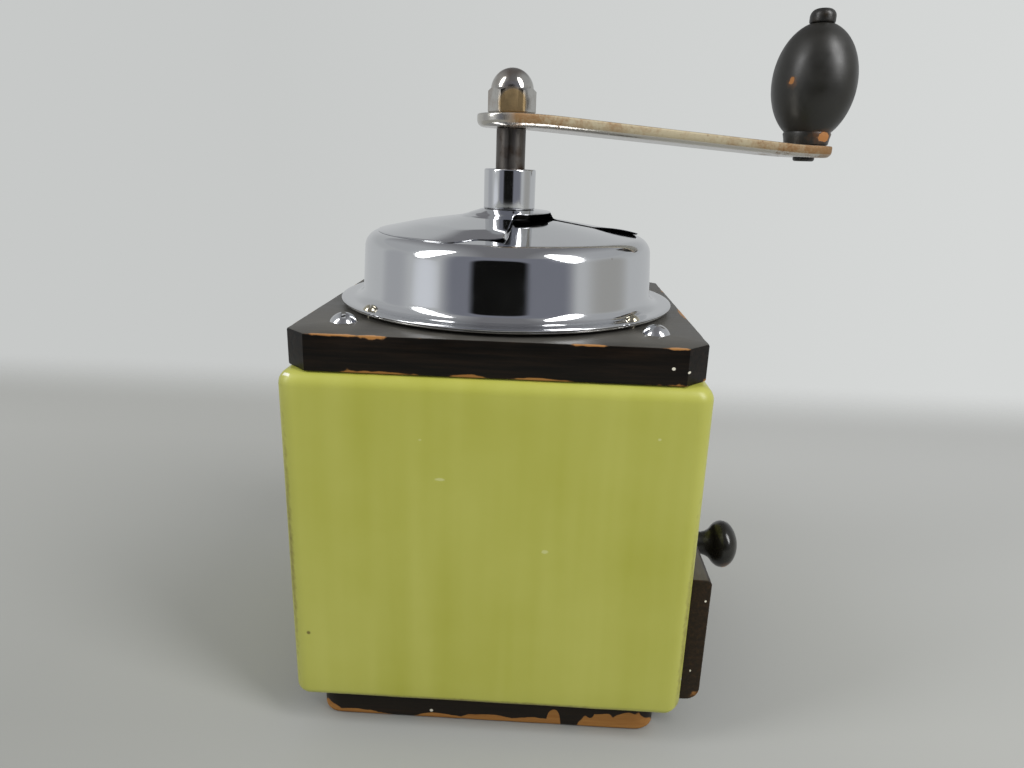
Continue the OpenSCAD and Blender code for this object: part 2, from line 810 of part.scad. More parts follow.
module adjusting_screw() {
    notch_r = 0.9;
    color(bronze) difference() {
        union() {
            translate([0, 0, z_wheel_top]) cylinder(r = adjuster_r, h = z_cup_top - z_wheel_top);
            translate([0, 0, z_wheel_top - wheel_t]) cylinder(r = wheel_r, h = wheel_t);
        }
        translate([0, 0, z_cup_floor]) cylinder(r = tip_r + run_c, h = 2 * cup_d);
        for (i = [0 : wheel_notches - 1]) rotate([0, 0, i * 360 / wheel_notches])
            translate([wheel_r, 0, z_wheel_top - wheel_t - 1])
                cylinder(r = notch_r, h = wheel_t + 2, $fn = 24);
    }
}

module drive_shaft() {
    z_nut_seat = z_cone_end + burr_nut_h + burr_nut_room;
    color(dark_steel) rotate([0, 0, crank_angle]) {
        translate([0, 0, z_pad_top]) cylinder(r = tip_r, h = z_cone_end - z_pad_top);
        translate([0, 0, z_cone_end]) cylinder(r = thread_r, h = z_nut_seat - z_cone_end);
        translate([0, 0, z_nut_seat]) linear_extrude(z_cone_top - z_nut_seat) flatted(thread_r, flats_w);
        translate([0, 0, z_cone_top]) cylinder(r = shaft_r, h = z_arm - z_cone_top);
        translate([0, 0, z_arm]) linear_extrude(arm_t) flatted(thread_r, flats_w);
        translate([0, 0, z_nut]) cylinder(r = thread_r, h = thread_above_nut);
    }
}

// Turning burr: coarse spiral flutes that draw the beans down, then fine teeth that grind
module cone_burr() {
    upper = z_cone_top - z_cone_mid;
    lower = z_cone_mid - z_cone_end;
    nut_room_r = nut_af / 2 / cos(30) + burr_nut_room;
    color(cast_iron) rotate([0, 0, crank_angle]) difference() {
        union() {
            translate([0, 0, z_cone_mid])
                burr_extrude(upper, cone_flute_twist, cone_top_r / cone_mid_r)
                    tooth_ring(cone_flutes, cone_mid_r, cone_mid_r - cone_flute_d);
            translate([0, 0, z_cone_end])
                burr_extrude(lower, cone_tooth_twist, cone_mid_r / cone_base_r)
                    tooth_ring(cone_teeth, cone_base_r, cone_base_r - tooth_d);
        }
        translate([0, 0, z_cone_end - 1]) linear_extrude(ring_h + 2) flatted(thread_r, flats_w);
        translate([0, 0, z_cone_end - 1]) cylinder(r = nut_room_r, h = 1 + burr_nut_h + burr_nut_room);
    }
}

module hexagon(af) {
    circle(r = af / 2 / cos(30), $fn = 6);
}

module burr_nut() {
    color(dark_steel) rotate([0, 0, crank_angle]) translate([0, 0, z_cone_end + burr_nut_room])
        linear_extrude(burr_nut_h) difference() {
            hexagon(nut_af);
            circle(thread_r);
        }
}

// Flat bar seen from above, cut by its bent side view
module crank_arm() {
    lean = asin((arm_r1 - arm_r2) / arm_len);
    steps = 32;
    turn1 = 180 + 2 * lean;
    turn2 = 180 - 2 * lean;
    big_end = [
        for (i = [0 : steps])
            let (a = 90 - lean + turn1 * i / steps)
            arm_r1 * [cos(a), sin(a)]
    ];
    small_end = [
        for (i = [0 : steps])
            let (a = lean - 90 + turn2 * i / steps)
            [arm_len, 0] + arm_r2 * [cos(a), sin(a)]
    ];
    side = [
        [-arm_r1 - 1, 0], [arm_bend, 0],
        [arm_len - arm_bend, -arm_drop], [arm_len + arm_r2 + 1, -arm_drop]
    ];
    color(nickel) rotate([0, 0, crank_angle]) translate([0, 0, z_arm]) difference() {
        intersection() {
            translate([0, 0, -arm_drop - 1]) linear_extrude(arm_drop + arm_t + 2)
                polygon(concat(big_end, small_end));
            translate([0, arm_r1 + 1, 0]) rotate([90, 0, 0]) linear_extrude(2 * arm_r1 + 2)
                polygon(concat(side, [for (i = [3 : -1 : 0]) side[i] + [0, arm_t]]));
        }
        translate([0, 0, -1]) linear_extrude(arm_t + 2) flatted(thread_r, flats_w);
        translate([arm_len, 0, -arm_drop - 1]) cylinder(r = pin_r, h = arm_t + 2);
    }
}

module cap_nut() {
    corner_r = nut_af / 2 / cos(30);
    chamfer_h = 1;
    dome_sink = 0.6;
    color(chrome) translate([0, 0, z_nut]) difference() {
        union() {
            intersection() {
                linear_extrude(nut_hex_h) hexagon(nut_af);
                cylinder(r1 = corner_r + nut_hex_h, r2 = corner_r - chamfer_h, h = nut_hex_h);
            }
            translate([0, 0, nut_hex_h - dome_sink]) intersection() {
                sphere(nut_dome_r);
                cylinder(r = nut_dome_r + 1, h = nut_dome_r + 1);
            }
        }
        translate([0, 0, -1]) cylinder(r = thread_r, h = nut_bore_d + 1);
    }
}

// Pin of the knob: riveted under the arm, with a rounded head over the knob
module knob_pin() {
    crown = 0.6 * pin_head_r;
    foot_round = 0.8;
    head = rounded_path([
        [pin_r, 0, 0], [pin_head_r, 0, foot_round], [pin_head_r, pin_head_h, crown], [0, pin_head_h, 0]
    ]);
    color(black_wood) at_knob() {
        translate([0, 0, z_arm_end - pin_rivet_h]) cylinder(r = pin_rivet_r, h = pin_rivet_h);
        translate([0, 0, z_arm_end]) cylinder(r = pin_r, h = z_pin_head - z_arm_end);
        translate([0, 0, z_pin_head]) rotate_extrude() polygon(concat([[0, 0]], head));
    }
}

module at_knob() {
    rotate([0, 0, crank_angle]) translate([arm_len, 0, 0]) children();
}

// Olive-shaped knob: an ellipse cut off at both ends, on a short neck
module handle_knob() {
    steps = 28;
    low = -asin(knob_below / knob_half_h);
    high = asin(knob_above / knob_half_h);
    olive = [
        for (i = [0 : steps])
            let (a = low + (high - low) * i / steps)
            [knob_r * cos(a), neck_h + knob_below + knob_half_h * sin(a)]
    ];
    color(black_wood) at_knob() translate([0, 0, z_knob]) difference() {
        rotate_extrude() polygon(concat([[0, 0], [neck_r, 0]], olive, [[0, knob_l]]));
        translate([0, 0, -1]) cylinder(r = pin_r + run_c, h = knob_l + 2);
    }
}

// L-shaped runners on the base board, beside the shell's lip
module drawer_rails() {
    color(bare_wood) for (m = [0, 1]) mirror([0, m, 0]) translate([-rail_l / 2, 0, base_t]) {
        translate([0, rail_out - runner_w, 0]) cube([rail_l, runner_w, runner_h]);
        translate([0, rail_out - guide_t, 0]) cube([rail_l, guide_t, runner_h + guide_h]);
    }
}

module drawer_front() {
    outline = rounded_path([
        [0, 0, 0], [front_t, 0, front_round], [front_t, front_h - front_chamfer, 0],
        [front_t - front_chamfer, front_h, 0], [0, front_h, 0]
    ]);
    color(black_wood) difference() {
        translate([x_front, front_w / 2, z_front]) rotate([90, 0, 0])
            linear_extrude(front_w) polygon(outline);
        at_pull(-1) cylinder(r = inner_shank_r, h = front_t + 2);
    }
}

// Axis of the drawer knob, along +X from the front board's inner face
module at_pull(along) {
    translate([x_front + along, 0, z_pull]) rotate([0, 90, 0]) children();
}

module drawer_sides() {
    color(bare_wood) for (m = [0, 1]) mirror([0, m, 0])
        translate([x_back + side_t, drawer_w / 2 - side_t, z_side])
            cube([drawer_len - side_t, side_t, side_h]);
}

module drawer_back() {
    color(bare_wood) translate([x_back, -drawer_w / 2, z_side]) cube([side_t, drawer_w, side_h]);
}

module drawer_bottom() {
    color(bare_wood) translate([x_back, -drawer_w / 2, z_drawer]) cube([drawer_len, drawer_w, floor_t]);
}

// Turned mushroom knob: foot, neck and an elliptic head
module drawer_knob() {
    foot_r = pull_neck_r + 1;
    foot_h = 1.1;
    half = pull_head_t / 2;
    middle = pull_neck_l + half;
    from = 180 - asin(pull_neck_r / pull_r);
    steps = 20;
    head = [
        for (i = [0 : steps])
            let (a = from * (1 - i / steps))
            [pull_r * sin(a), middle + half * cos(a)]
    ];
    color(black_wood) at_pull(front_t) difference() {
        rotate_extrude()
            polygon(concat([[0, 0], [foot_r, 0], [foot_r, foot_h], [pull_neck_r, 2 * foot_h]], head));
        translate([0, 0, -1]) cylinder(r = inner_shank_r, h = pull_bite + 1);
    }
}

module drawer_knob_screw() {
    color(dark_steel) at_pull(0) mirror([0, 0, 1])
        round_head_screw(inner_head_r, inner_shank_r, front_t + pull_bite);
}

base_board();
body_shell();
corner_blocks();
top_board();
base_screws();
top_screws();
hopper_bowl();
hopper_dome();
flange_screws();
dome_collar();
collar_bush();
hopper_cover();
ring_burr();
burr_screws();
lower_bridge();
bridge_screws();
detent_spring();
thrust_pad();
adjusting_screw();
drive_shaft();
cone_burr();
burr_nut();
crank_arm();
cap_nut();
knob_pin();
handle_knob();
drawer_rails();
drawer_front();
drawer_sides();
drawer_back();
drawer_bottom();
drawer_knob();
drawer_knob_screw();
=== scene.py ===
"""Hand-cranked box coffee mill: finished meshes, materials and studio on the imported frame.

Sizes are in millimetres on the frame's own axes (+Z up the crank's axis, +X to the drawer, origin
under the middle of the base board). They become metres where a mesh is made.
"""

import logging
import math
from collections.abc import Callable, Iterator, Sequence
from contextlib import contextmanager
from dataclasses import dataclass, field
from enum import Enum
from functools import reduce
from itertools import combinations

import bmesh
import bpy
from bmesh.types import BMesh
from bpy.types import ID, Material, Mesh, Node, NodeSocket, NodeTree, Object
from mathutils import Matrix, Vector
from mathutils.noise import noise


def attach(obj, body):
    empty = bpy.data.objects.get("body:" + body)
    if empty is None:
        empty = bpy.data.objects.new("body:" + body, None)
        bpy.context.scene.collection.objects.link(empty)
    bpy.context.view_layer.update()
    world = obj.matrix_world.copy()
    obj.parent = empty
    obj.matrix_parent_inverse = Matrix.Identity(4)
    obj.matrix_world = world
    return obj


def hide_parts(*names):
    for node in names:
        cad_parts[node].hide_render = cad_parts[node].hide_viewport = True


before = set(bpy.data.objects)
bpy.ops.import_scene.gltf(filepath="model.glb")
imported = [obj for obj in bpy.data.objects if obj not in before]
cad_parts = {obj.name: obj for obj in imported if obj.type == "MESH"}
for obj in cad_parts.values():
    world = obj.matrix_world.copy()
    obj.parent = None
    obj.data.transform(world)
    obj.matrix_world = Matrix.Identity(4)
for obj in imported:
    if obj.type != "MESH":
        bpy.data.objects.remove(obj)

LOG = logging.getLogger("coffee_mill")
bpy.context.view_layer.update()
MM = 0.001

Row = list[Vector]
Corner = tuple[float, float, float]
Inputs = dict[int | str, object]
Tone = str | NodeSocket
Steps = tuple[tuple[str, dict], ...]


class Body(Enum):
    """The frame's bodies, which the pieces ride on."""

    CASING = "casing"
    COVER = "cover"
    LIFT = "lift"
    ADJUSTER = "adjuster"
    CRANK = "crank"
    KNOB = "knob"
    DRAWER = "drawer"


class Grain(Enum):
    """Direction of the wood's fibres, as the shares by which a pattern is stretched."""

    ALONG_X = (0.05, 1.0, 1.0)
    ALONG_Y = (1.0, 0.05, 1.0)
    ALONG_Z = (1.0, 1.0, 0.05)


def linear(hex_code: str) -> tuple[float, float, float, float]:
    """An sRGB hex colour as linear RGBA.

    Args:
        hex_code: The colour as #RRGGBB.

    Returns:
        Linear red, green and blue, and 1 for full cover.
    """
    shares = [int(hex_code[i : i + 2], 16) / 255 for i in (1, 3, 5)]
    red, green, blue = (c / 12.92 if c <= 0.04045 else ((c + 0.055) / 1.055) ** 2.4 for c in shares)
    return red, green, blue, 1.0


def feed(tree: NodeTree, node: Node, inputs: Inputs) -> None:
    """Sets a node's inputs, by name or number, to values or links them to outputs.

    Args:
        tree: The node's tree.
        node: The node.
        inputs: For each input, a value or the output to link.
    """
    for key, value in inputs.items():
        if isinstance(value, NodeSocket):
            tree.links.new(value, node.inputs[key])
        else:
            node.inputs[key].default_value = value


def add_node(
    tree: NodeTree, kind: str, inputs: Inputs | None = None, out: int | str = 0, **settings: object
) -> NodeSocket:
    """Adds a node with its settings, values and links.

    Args:
        tree: The node tree that takes the node.
        kind: The node's class name; shader nodes leave out its first words.
        inputs: For each input, by name or number, a value or the output that is linked to it.
        out: The output that is wanted, by name or number.
        settings: The node's own attributes.

    Returns:
        That output of the new node.
    """
    node = tree.nodes.new(kind if "Node" in kind else f"ShaderNode{kind}")
    for key, value in settings.items():
        setattr(node, key, value)
    feed(tree, node, inputs or {})
    return node.outputs[out]


def chained(tree: NodeTree, operation: str, values: Sequence[NodeSocket | float]) -> NodeSocket:
    """Several values joined by one math operation, from the first to the last."""
    return reduce(lambda one, two: add_node(tree, "Math", {0: one, 1: two}, operation=operation), values)


def span(value: NodeSocket, low: float, high: float, start: float = 0.0, end: float = 1.0) -> Inputs:
    """Inputs of a map range that takes low to start and high to end."""
    return {"Value": value, "From Min": low, "From Max": high, "To Min": start, "To Max": end}


def pattern(place: NodeSocket, size: float, detail: float = 0.0, **more: float) -> Inputs:
    """Inputs of a texture whose features are size millimetres wide."""
    return {"Vector": place, "Scale": 1 / (size * MM), "Detail": detail, **more}


def layered(tree: NodeTree, colour: Tone, *layers: tuple[NodeSocket, Tone]) -> NodeSocket:
    """A colour with others laid over it.

    Args:
        tree: The node tree.
        colour: The lowest colour, as a hex code or an output.
        layers: Mask and colour of each layer, from the lowest up.

    Returns:
        The uppermost colour's output.
    """
    for mask, over in layers:
        under, upper = (linear(tone) if isinstance(tone, str) else tone for tone in (colour, over))
        colour = add_node(tree, "Mix", {0: mask, 6: under, 7: upper}, 2, data_type="RGBA")
    return colour


@dataclass(frozen=True)
class Spot:
    """A place on a surface where something shows, as an ellipsoid in millimetres."""

    centre: Corner
    reach: Corner


def spot_mask(tree: NodeTree, place: NodeSocket, spots: Sequence[Spot]) -> NodeSocket:
    """Mask that is 1 at the middle of each spot and falls to 0 at its reach.

    Args:
        tree: The material's node tree.
        place: Object coordinates.
        spots: The places to mark.

    Returns:
        The mask's output.
    """
    masks = []
    for spot in spots:
        centre, reach = ([value * MM for value in corner] for corner in (spot.centre, spot.reach))
        away = add_node(tree, "VectorMath", {0: place, 1: centre}, operation="SUBTRACT")
        share = add_node(tree, "VectorMath", {0: away, 1: reach}, operation="DIVIDE")
        far = add_node(tree, "VectorMath", {0: share}, "Value", operation="LENGTH")
        fall = span(far, 0.0, 1.0, 1.0, 0.0)
        masks.append(add_node(tree, "MapRange", fall, interpolation_type="SMOOTHSTEP"))
    return chained(tree, "MAXIMUM", masks)


def torn_mask(
    tree: NodeTree, place: NodeSocket, spots: Sequence[Spot], crumbs: NodeSocket, low: float, high: float
) -> NodeSocket:
    """Mask of spots with ragged outlines.

    Args:
        tree: The material's node tree.
        place: Object coordinates.
        spots: The places to mark.
        crumbs: Fine pattern that tears the outlines.
        low: Sum of spot and pattern where the mask starts.
        high: Sum where it is full.

    Returns:
        The mask's output.
    """
    torn = add_node(tree, "Math", {0: spot_mask(tree, place, spots), 1: crumbs}, operation="ADD")
    return add_node(tree, "MapRange", span(torn, low, high))


def fleck_mask(
    tree: NodeTree, place: NodeSocket, size: float, bare: float, radii: tuple[float, float], full: float
) -> NodeSocket:
    """Mask of small round flecks, strewn by a pattern of cells.

    Args:
        tree: The material's node tree.
        place: Object coordinates.
        size: Width of a cell in millimetres.
        bare: Share of the cells without a fleck.
        radii: Radius of a fleck's full middle and of its outline, as shares of a cell.
        full: The mask's value in the middle.

    Returns:
        The mask's output.
    """
    cells = add_node(tree, "TexVoronoi", pattern(place, size)).node.outputs
    picked = chained(tree, "GREATER_THAN", (cells["Color"], bare))
    dot = add_node(tree, "MapRange", span(cells["Distance"], *radii, full, 0.0))
    return chained(tree, "MULTIPLY", (dot, picked))


@dataclass(frozen=True)
class Finish:
    """A surface finish, made as one procedural material.

    Attributes:
        name: The material's name.
        slot: The record's material slot that it stands for; not used.
    """

    name: str
    slot: str

    def material(self) -> Material:
        """The finish's material, made on first use.

        Returns:
            The material.
        """
        made = bpy.data.materials.get(self.name)
        if made is None:
            made = bpy.data.materials.new(self.name)
            made.use_nodes = True
            tree = made.node_tree
            place = add_node(tree, "TexCoord", out="Object")
            feed(tree, tree.nodes["Principled BSDF"], self.shade(tree, place))
        return made

    def shade(self, tree: NodeTree, place: NodeSocket) -> Inputs:
        """Builds the nodes of the finish.

        Args:
            tree: The material's node tree.
            place: Object coordinates.

        Returns:
            Values and outputs for the inputs of the Principled shader.
        """
        raise NotImplementedError


@dataclass(frozen=True)
class GreenEnamel(Finish):
    """Brushed-on green enamel over sheet steel, satin with age, scuffed and flecked."""

    colour: str = "#A2A33F"
    faded: str = "#AFB054"
    chip: str = "#E4E3CF"
    rust: str = "#4B3418"
    stain: str = "#6E6420"
    scuff: str = "#BBBD78"
    # Widths of the patterns; the real orange peel is finer and is drawn as coarse as it needs to show
    patch: float = 38.0
    brush: float = 9.0
    crumb: float = 1.6
    peel: float = 2.4
    scuffs: tuple[Spot, ...] = ()
    chips: tuple[Spot, ...] = ()
    stains: tuple[Spot, ...] = ()

    def shade(self, tree: NodeTree, place: NodeSocket) -> Inputs:
        """Cloudy colour, upright brush bands, specks, scuffs, chips and a soft orange peel.

        Args:
            tree: The material's node tree.
            place: Object coordinates.

        Returns:
            Inputs of the Principled shader.
        """
        upright = add_node(tree, "Mapping", {"Vector": place, "Scale": (1.0, 1.0, 0.06)})
        sizes = ((place, self.patch, 4.0), (upright, self.brush, 2.0), (place, self.crumb, 3.0))
        cloud, bands, fine = (add_node(tree, "TexNoise", pattern(*size)) for size in sizes)
        peel = add_node(tree, "TexNoise", pattern(place, self.peel, 2.0))
        drift = chained(tree, "ADD", (cloud, bands))
        colour = layered(
            tree,
            self.colour,
            (add_node(tree, "MapRange", span(drift, 0.7, 1.35)), self.faded),
            (fleck_mask(tree, place, 17.0, 0.62, (0.022, 0.045), 0.75), self.rust),
            (fleck_mask(tree, place, 13.0, 0.70, (0.022, 0.045), 0.75), self.chip),
            (torn_mask(tree, place, self.stains, fine, 0.75, 1.6), self.stain),
            (torn_mask(tree, place, self.scuffs, fine, 0.95, 1.35), self.scuff),
            (torn_mask(tree, place, self.chips, fine, 0.86, 0.98), self.chip),
        )
        swell = add_node(tree, "Bump", {"Height": bands, "Strength": 0.06, "Distance": 0.0004})
        rind = {"Height": peel, "Strength": 0.10, "Distance": 0.0001, "Normal": swell}
        return {
            "Base Color": colour,
            "Roughness": add_node(tree, "MapRange", span(cloud, 0.3, 0.7, 0.30, 0.42)),
            "Normal": add_node(tree, "Bump", rind),
        }


@dataclass(frozen=True)
class BlackStain(Finish):
    """Planed beech board with black stain and varnish, rubbed through to bare wood on its edges.

    Attributes:
        half: Half of the board's width along X and Y.
        middle: The board's middle along X and Y.
        levels: The board's lower and upper face.
        grain: Direction of the fibres.
        reach: How far the wear goes in from an edge at most.
        amount: Share of the edges that is worn.
        rub: How far the wear reaches at the places rubbed bare.
        bare: Places rubbed bare beyond that.
        kept: Places among them where the stain is still whole.
        flecks: Small paint spatters.
        dust: Share of a pale tone on upward faces, partly dust and partly a painted sheen.
    """

    half: tuple[float, float] = (50.0, 50.0)
    middle: tuple[float, float] = (0.0, 0.0)
    levels: tuple[float, float] = (0.0, 10.0)
    grain: Grain = Grain.ALONG_X
    reach: float = 1.4
    amount: float = 0.4
    rub: float = 2.2
    black: str = "#0B0A08"
    brown: str = "#33251A"
    pore: str = "#7A4A22"
    wood: str = "#B38348"
    paint: str = "#D8D4C4"
    # Pale tone of upward faces: dust, and a painted sheen where the tops catch the light
    dust_and_sheen_tone: str = "#A3A199"
    bare: tuple[Spot, ...] = ()
    kept: tuple[Spot, ...] = ()
    flecks: tuple[Spot, ...] = ()
    dust: float = 0.34
    # Widths of the patterns; beech has finer fibres, drawn here as coarse as they need to show
    fibre: float = 1.3
    patch: float = 16.0
    crumb: float = 2.2

    def edge_distance(self, tree: NodeTree, place: NodeSocket) -> NodeSocket:
        """Distance to the board's nearest edge in millimetres.

        Args:
            tree: The material's node tree.
            place: Object coordinates.

        Returns:
            The distance's output.
        """
        low, high = self.levels
        middles = (*self.middle, (low + high) / 2)
        halves = (*self.half, (high - low) / 2)
        axes = add_node(tree, "SeparateXYZ", {0: place}).node.outputs
        gaps = []
        for axis, middle, half in zip(axes, middles, halves):
            away = chained(tree, "SUBTRACT", (axis, middle * MM))
            away = add_node(tree, "Math", {0: away}, operation="ABSOLUTE")
            gaps.append(chained(tree, "SUBTRACT", (half * MM, away)))
        edges = [chained(tree, "MAXIMUM", pair) for pair in combinations(gaps, 2)]
        return add_node(tree, "Math", {0: chained(tree, "MINIMUM", edges), 1: 1 / MM}, operation="MULTIPLY")

    def wear(self, tree: NodeTree, place: NodeSocket, patches: NodeSocket) -> NodeSocket:
        """How far inside the worn border a place lies, in millimetres.

        Args:
            tree: The material's node tree.
            place: Object coordinates.
            patches: Wide pattern that spreads the wear.

        Returns:
            The distance's output, which is below 0 where the stain is whole.
        """
        crumbs = add_node(tree, "TexNoise", pattern(place, self.crumb, 4.0))
        start, full = (limit - 0.4 * self.amount for limit in (0.68, 0.86))
        border = add_node(tree, "MapRange", span(patches, start, full, -0.6, self.reach))
        rubbed = spot_mask(tree, place, self.bare)
        if self.kept:
            whole = spot_mask(tree, place, self.kept)
            rubbed = chained(tree, "SUBTRACT", (rubbed, whole))
        for share, reach in ((rubbed, self.rub), (crumbs, 2.4)):
            border = add_node(tree, "Math", {0: share, 1: reach, 2: border}, operation="MULTIPLY_ADD")
        return add_node(tree, "Math", {0: border, 1: self.edge_distance(tree, place)}, operation="SUBTRACT")

    def shade(self, tree: NodeTree, place: NodeSocket) -> Inputs:
        """Black stain with grain, brown where it is thin, bare wood on worn edges, and spatters.

        Args:
            tree: The material's node tree.
            place: Object coordinates.

        Returns:
            Inputs of the Principled shader.
        """
        along = add_node(tree, "Mapping", {"Vector": place, "Scale": self.grain.value})
        fibres = add_node(tree, "TexNoise", pattern(along, self.fibre, 5.0, Roughness=0.65))
        patches = add_node(tree, "TexNoise", pattern(place, self.patch, 3.0))
        margin = self.wear(tree, place, patches)
        thin = add_node(tree, "MapRange", span(margin, 0.3, 1.6))
        worn = add_node(tree, "MapRange", span(margin, 1.15, 1.7))
        deep = add_node(tree, "MapRange", span(fibres, 0.35, 0.75, end=0.55))
        stained = chained(tree, "MAXIMUM", (deep, thin))
        stained = chained(tree, "MULTIPLY", (stained, fibres))
        layers = [(stained, self.brown), (worn, layered(tree, self.pore, (fibres, self.wood)))]
        if self.flecks:
            near = spot_mask(tree, place, self.flecks)
            layers.append((add_node(tree, "MapRange", span(near, 0.25, 0.5)), self.paint))
        # Upward faces paler: partly settled dust, partly a painted sheen of light on the tops
        facing = add_node(tree, "NewGeometry", out="Normal")
        upward = add_node(tree, "SeparateXYZ", {0: facing}, "Z")
        dust_and_sheen = add_node(tree, "MapRange", span(upward, 0.8, 1.0, end=self.dust))
        dust_and_sheen = chained(tree, "MULTIPLY", (dust_and_sheen, patches))
        varnish = add_node(tree, "MapRange", span(patches, 0.3, 0.7, 0.30, 0.46))
        pores = add_node(tree, "Bump", {"Height": fibres, "Strength": 0.22, "Distance": 0.0003})
        edge = {"Height": worn, "Strength": 0.35, "Distance": 0.0002, "Normal": pores}
        return {
            "Base Color": layered(tree, self.black, *layers, (dust_and_sheen, self.dust_and_sheen_tone)),
            "Specular IOR Level": 0.16,
            "Roughness": add_node(tree, "Mix", {0: worn, 2: varnish, 3: 0.7}, data_type="FLOAT"),
            "Normal": add_node(tree, "Bump", edge, invert=True),
        }


@dataclass(frozen=True)
class TurnedLacquer(Finish):
    """Lathe-turned knob in black lacquer, satin from hands, chipped to the orange wood."""

    deep: str = "#1A1915"
    black: str = "#24231F"
    brown: str = "#4A3018"
    wood: str = "#A56C34"
    across: Grain = Grain.ALONG_Z
    chips: tuple[Spot, ...] = ()
    rubbed: tuple[Spot, ...] = ()
    gloss: float = 0.34
    # Widths of the patterns; the marks of the tool are finer and are drawn as coarse as they need to show
    groove: float = 1.1
    patch: float = 7.0
    crumb: float = 1.5

    def shade(self, tree: NodeTree, place: NodeSocket) -> Inputs:
        """Dark lacquer with faint turning lines, brown rubbed places and chips.

        Args:
            tree: The material's node tree.
            place: Object coordinates.

        Returns:
            Inputs of the Principled shader.
        """
        stretch = tuple(1.0 if share < 1 else 0.03 for share in self.across.value)
        rings = add_node(tree, "Mapping", {"Vector": place, "Scale": stretch})
        sizes = ((rings, self.groove, 3.0), (place, self.patch, 4.0), (place, self.crumb, 4.0))
        lines, haze, crumbs = (add_node(tree, "TexNoise", pattern(*size)) for size in sizes)
        rubbed = torn_mask(tree, place, self.rubbed, crumbs, 0.75, 1.25)
        chipped = torn_mask(tree, place, self.chips, crumbs, 0.92, 1.04)
        satin = add_node(tree, "MapRange", span(haze, 0.3, 0.7, self.gloss - 0.05, self.gloss + 0.12))
        grooves = add_node(tree, "Bump", {"Height": lines, "Strength": 0.12, "Distance": 0.0002})
        edge = {"Height": chipped, "Strength": 0.5, "Distance": 0.0002, "Normal": grooves}
        return {
            "Base Color": layered(
                tree, self.deep, (haze, self.black), (rubbed, self.brown), (chipped, self.wood)
            ),
            "Roughness": add_node(tree, "Mix", {0: chipped, 2: satin, 3: 0.65}, data_type="FLOAT"),
            "Normal": add_node(tree, "Bump", edge, invert=True),
        }


@dataclass(frozen=True)
class BareBeech(Finish):
    """Sawn beech left raw inside the mill, tan with short dark rays and coffee dust."""

    pale: str = "#C49A68"
    dark: str = "#9A6E41"
    ray: str = "#7B5430"
    coffee: str = "#5A3A20"
    grain: Grain = Grain.ALONG_X
    # Widths of the patterns; fibres and rays are drawn as coarse as they need to show
    fibre: float = 2.0
    ray_width: float = 0.9
    patch: float = 11.0

    def shade(self, tree: NodeTree, place: NodeSocket) -> Inputs:
        """Stretched grain, short rays and brown dust in patches.

        Args:
            tree: The material's node tree.
            place: Object coordinates.

        Returns:
            Inputs of the Principled shader.
        """
        along = add_node(tree, "Mapping", {"Vector": place, "Scale": self.grain.value})
        fibres = add_node(tree, "TexNoise", pattern(along, self.fibre, 6.0, Roughness=0.6))
        rays = add_node(tree, "TexVoronoi", pattern(along, self.ray_width))
        dust = add_node(tree, "TexNoise", pattern(place, self.patch, 5.0))
        tone, dash, brown = (
            add_node(tree, "MapRange", span(*limits))
            for limits in ((fibres, 0.3, 0.7), (rays, 0.08, 0.22, 0.45, 0.0), (dust, 0.5, 0.8, 0.0, 0.5))
        )
        return {
            "Base Color": layered(tree, self.dark, (tone, self.pale), (dash, self.ray), (brown, self.coffee)),
            "Roughness": 0.72,
            "Normal": add_node(tree, "Bump", {"Height": fibres, "Strength": 0.3, "Distance": 0.0004}),
        }


@dataclass(frozen=True)
class ChromePlate(Finish):
    """Buffed chromium on pressed steel: a mirror with finger haze, faint ripples and a few pits."""

    tint: str = "#DADBDD"
    pit: str = "#5D4A33"
    brown: str = "#7A5A36"
    haze: float = 0.13
    pits: float = 0.86
    ripple: float = 0.10
    film: float = 0.0
    # Downward faces painted near black: painted shade under a sheet, not bare steel
    painted_shade_under: bool = False
    # Spots painted in the tone below: grime, painted shade in hollows and a painted reflection
    grime_and_painted_light: tuple[Spot, ...] = ()
    grime_and_painted_light_tone: str = "#1A1817"
    grime_and_painted_light_rough: float = 0.42
    # Widths of the patterns: smears of fingers, cells that may hold a pit, and ripples of the sheet
    smear: float = 13.0
    cell: float = 6.5
    wave: float = 24.0

    def shade(self, tree: NodeTree, place: NodeSocket) -> Inputs:
        """Mirror metal with smudges in its roughness, brown pits and a slow ripple.

        Args:
            tree: The material's node tree.
            place: Object coordinates.

        Returns:
            Inputs of the Principled shader.
        """
        smear = add_node(tree, "TexNoise", pattern(place, self.smear, 5.0, Roughness=0.6))
        slow = add_node(tree, "TexNoise", pattern(place, self.wave, 1.0))
        pitted = fleck_mask(tree, place, self.cell, self.pits, (0.03, 0.07), 0.8)
        layers = [(pitted, self.pit)]
        rough = add_node(tree, "MapRange", span(smear, 0.38, 0.72, 0.045, self.haze))
        if self.film:
            layers.append((add_node(tree, "MapRange", span(smear, 0.42, 0.62, end=self.film)), self.brown))
        # Downward faces and spots take that tone and roughness: painted shade and painted reflection, with
        # some grime
        dull = []
        if self.painted_shade_under:
            facing = add_node(tree, "NewGeometry", out="Normal")
            upward = add_node(tree, "SeparateXYZ", {0: facing}, "Z")
            dull.append(add_node(tree, "MapRange", span(upward, -0.8, -0.5, 1.0, 0.0)))
        if self.grime_and_painted_light:
            dull.append(add_node(tree, "MapRange", span(spot_mask(tree, place, self.grime_and_painted_light), 0.1, 0.35)))
        if dull:
            dulled = chained(tree, "MAXIMUM", dull)
            layers.append((dulled, self.grime_and_painted_light_tone))
            more = {0: dulled, 1: self.grime_and_painted_light_rough, 2: rough}
            rough = add_node(tree, "Math", more, operation="MULTIPLY_ADD")
        return {
            "Base Color": layered(tree, self.tint, *layers),
            "Metallic": 1.0,
            "Roughness": add_node(tree, "Math", {0: pitted, 1: 0.5, 2: rough}, operation="MULTIPLY_ADD"),
            "Normal": add_node(tree, "Bump", {"Height": slow, "Strength": self.ripple, "Distance": 0.0006}),
        }


